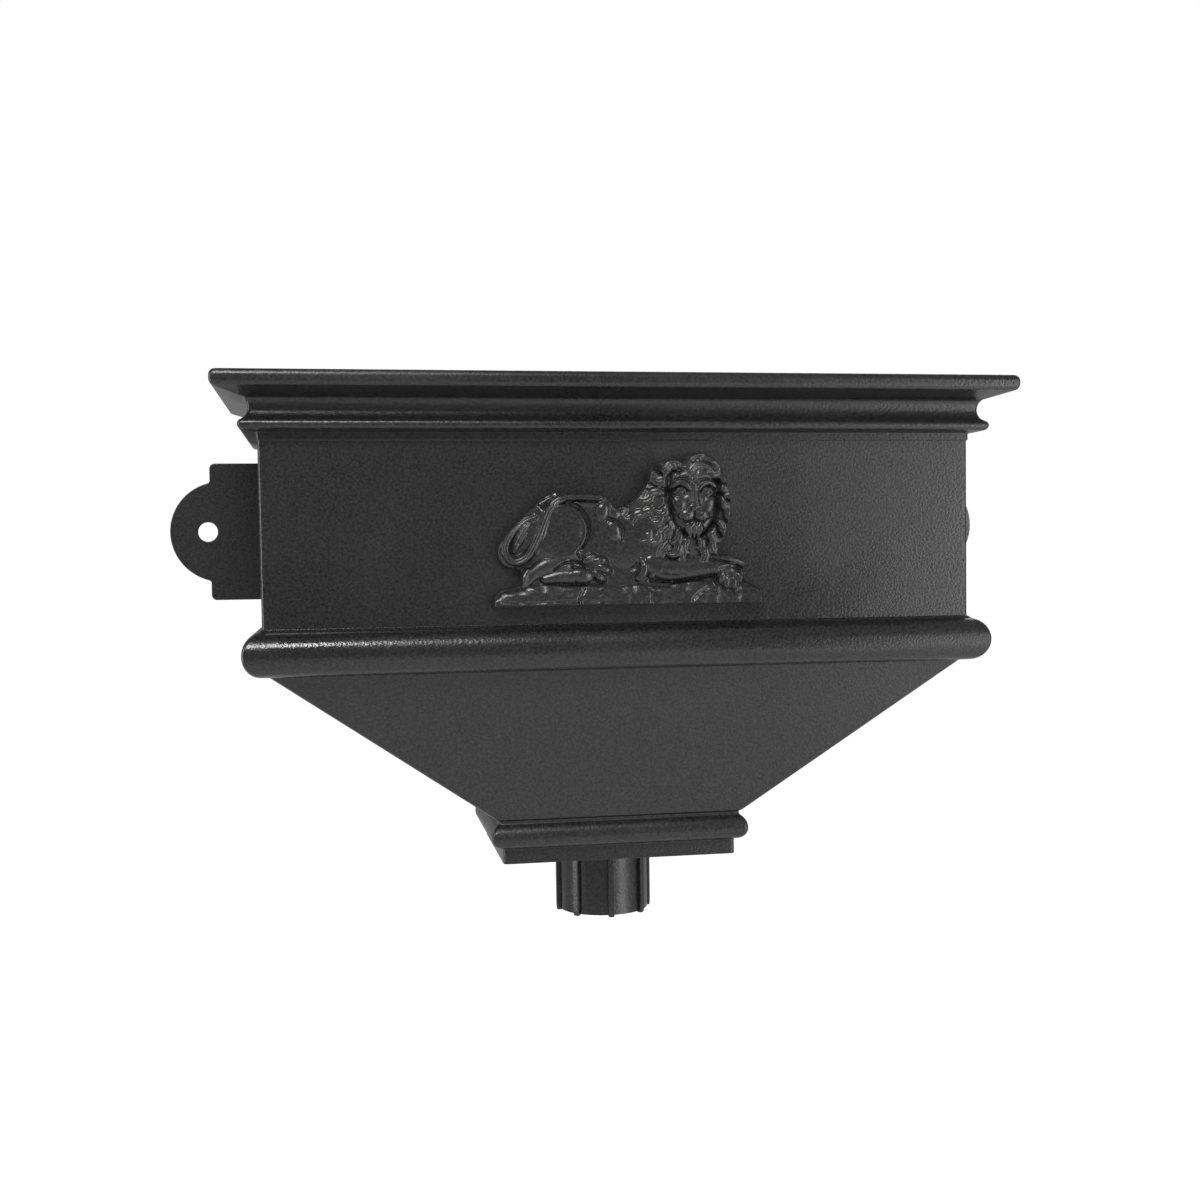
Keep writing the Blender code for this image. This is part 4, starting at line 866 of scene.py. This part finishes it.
def seen_directly(tree):
    """1 on rays that look straight or through glass at a surface, less off a gloss, else 0."""
    rays = tree.nodes.new("ShaderNodeLightPath")
    camera_ray, through_glass = rays.outputs["Is Camera Ray"], rays.outputs["Is Transmission Ray"]
    seen = math_node(tree, "MAXIMUM", camera_ray, through_glass)
    mirrored = math_node(tree, "MULTIPLY", rays.outputs["Is Glossy Ray"], GLOSS_SHARE)
    return math_node(tree, "MAXIMUM", seen, mirrored)


floor_glow = math_node(tree, "MULTIPLY", seen_directly(tree), STUDIO_GREY)
tree.links.new(floor_glow, shader.inputs["Emission Strength"])
floor_mesh.materials.append(pale)

world = bpy.data.worlds.new("white_surround")
bpy.context.scene.world = world
world.use_nodes = True
tree = world.node_tree
surround = tree.nodes["Background"]
surround.inputs["Color"].default_value = (1, 1, 1, 1)
strength = math_node(tree, "MAXIMUM", seen_directly(tree), SURROUND_FILL)
tree.links.new(strength, surround.inputs["Strength"])


def soft_lamp(name, place, target, width, height, watts, tint=(1, 1, 1)):
    """A flat lamp of the given size and tint that faces a point."""
    lamp = bpy.data.lights.new(name, "AREA")
    lamp.shape = "RECTANGLE"
    lamp.size, lamp.size_y, lamp.energy, lamp.color = width, height, watts, tint
    held = bpy.data.objects.new(name, lamp)
    bpy.context.scene.collection.objects.link(held)
    held.location = place
    held.rotation_euler = (Vector(target) - Vector(place)).to_track_quat("-Z", "Y").to_euler()


WARM, COOL = (1, 0.99, 0.95), (0.95, 0.93, 1)
soft_lamp("upper_left", (-0.6, -1.75, 1.5), (-0.1, -0.1, -0.05), 0.9, 0.55, 46, WARM)
soft_lamp("right_panel", (1.35, -1.65, -0.2), (0.1, -0.1, -0.1), 0.8, 1.5, 24)
soft_lamp("left_by_the_wall", (-1.15, -0.22, 0.05), (-0.2, -0.05, 0.0), 0.4, 1.2, 9, COOL)
soft_lamp("low_right", (1.1, -0.7, -0.86), (1.1, -0.7, 1.0), 1.0, 1.2, 4, COOL)
soft_lamp("behind", (0.8, 1.9, 1.3), (0, 0, -0.05), 1.6, 1.2, 14)

CAMERA_PLACE, CAMERA_ANGLES, CAMERA_LENS = (-0.1749, -1.0258, -0.0227), (10.1, -1.52, -0.81), 44.61
yaw, pitch, roll = (math.radians(angle) for angle in CAMERA_ANGLES)
ahead = Vector((math.sin(yaw) * math.cos(pitch), math.cos(yaw) * math.cos(pitch), math.sin(pitch)))
level = ahead.cross(Vector((0, 0, 1))).normalized()
upright = level.cross(ahead)
right = level * math.cos(roll) + upright * math.sin(roll)
up = upright * math.cos(roll) - level * math.sin(roll)
view = bpy.data.cameras.new("photograph_view")
view.sensor_width = 36
view.lens = CAMERA_LENS
view.clip_start = 0.05
camera = bpy.data.objects.new("photograph_view", view)
bpy.context.scene.collection.objects.link(camera)
facing = Matrix((right, up, -ahead)).transposed().to_4x4()
camera.matrix_world = Matrix.Translation(CAMERA_PLACE) @ facing
bpy.context.scene.camera = camera
bpy.context.scene.view_settings.view_transform = "Standard"
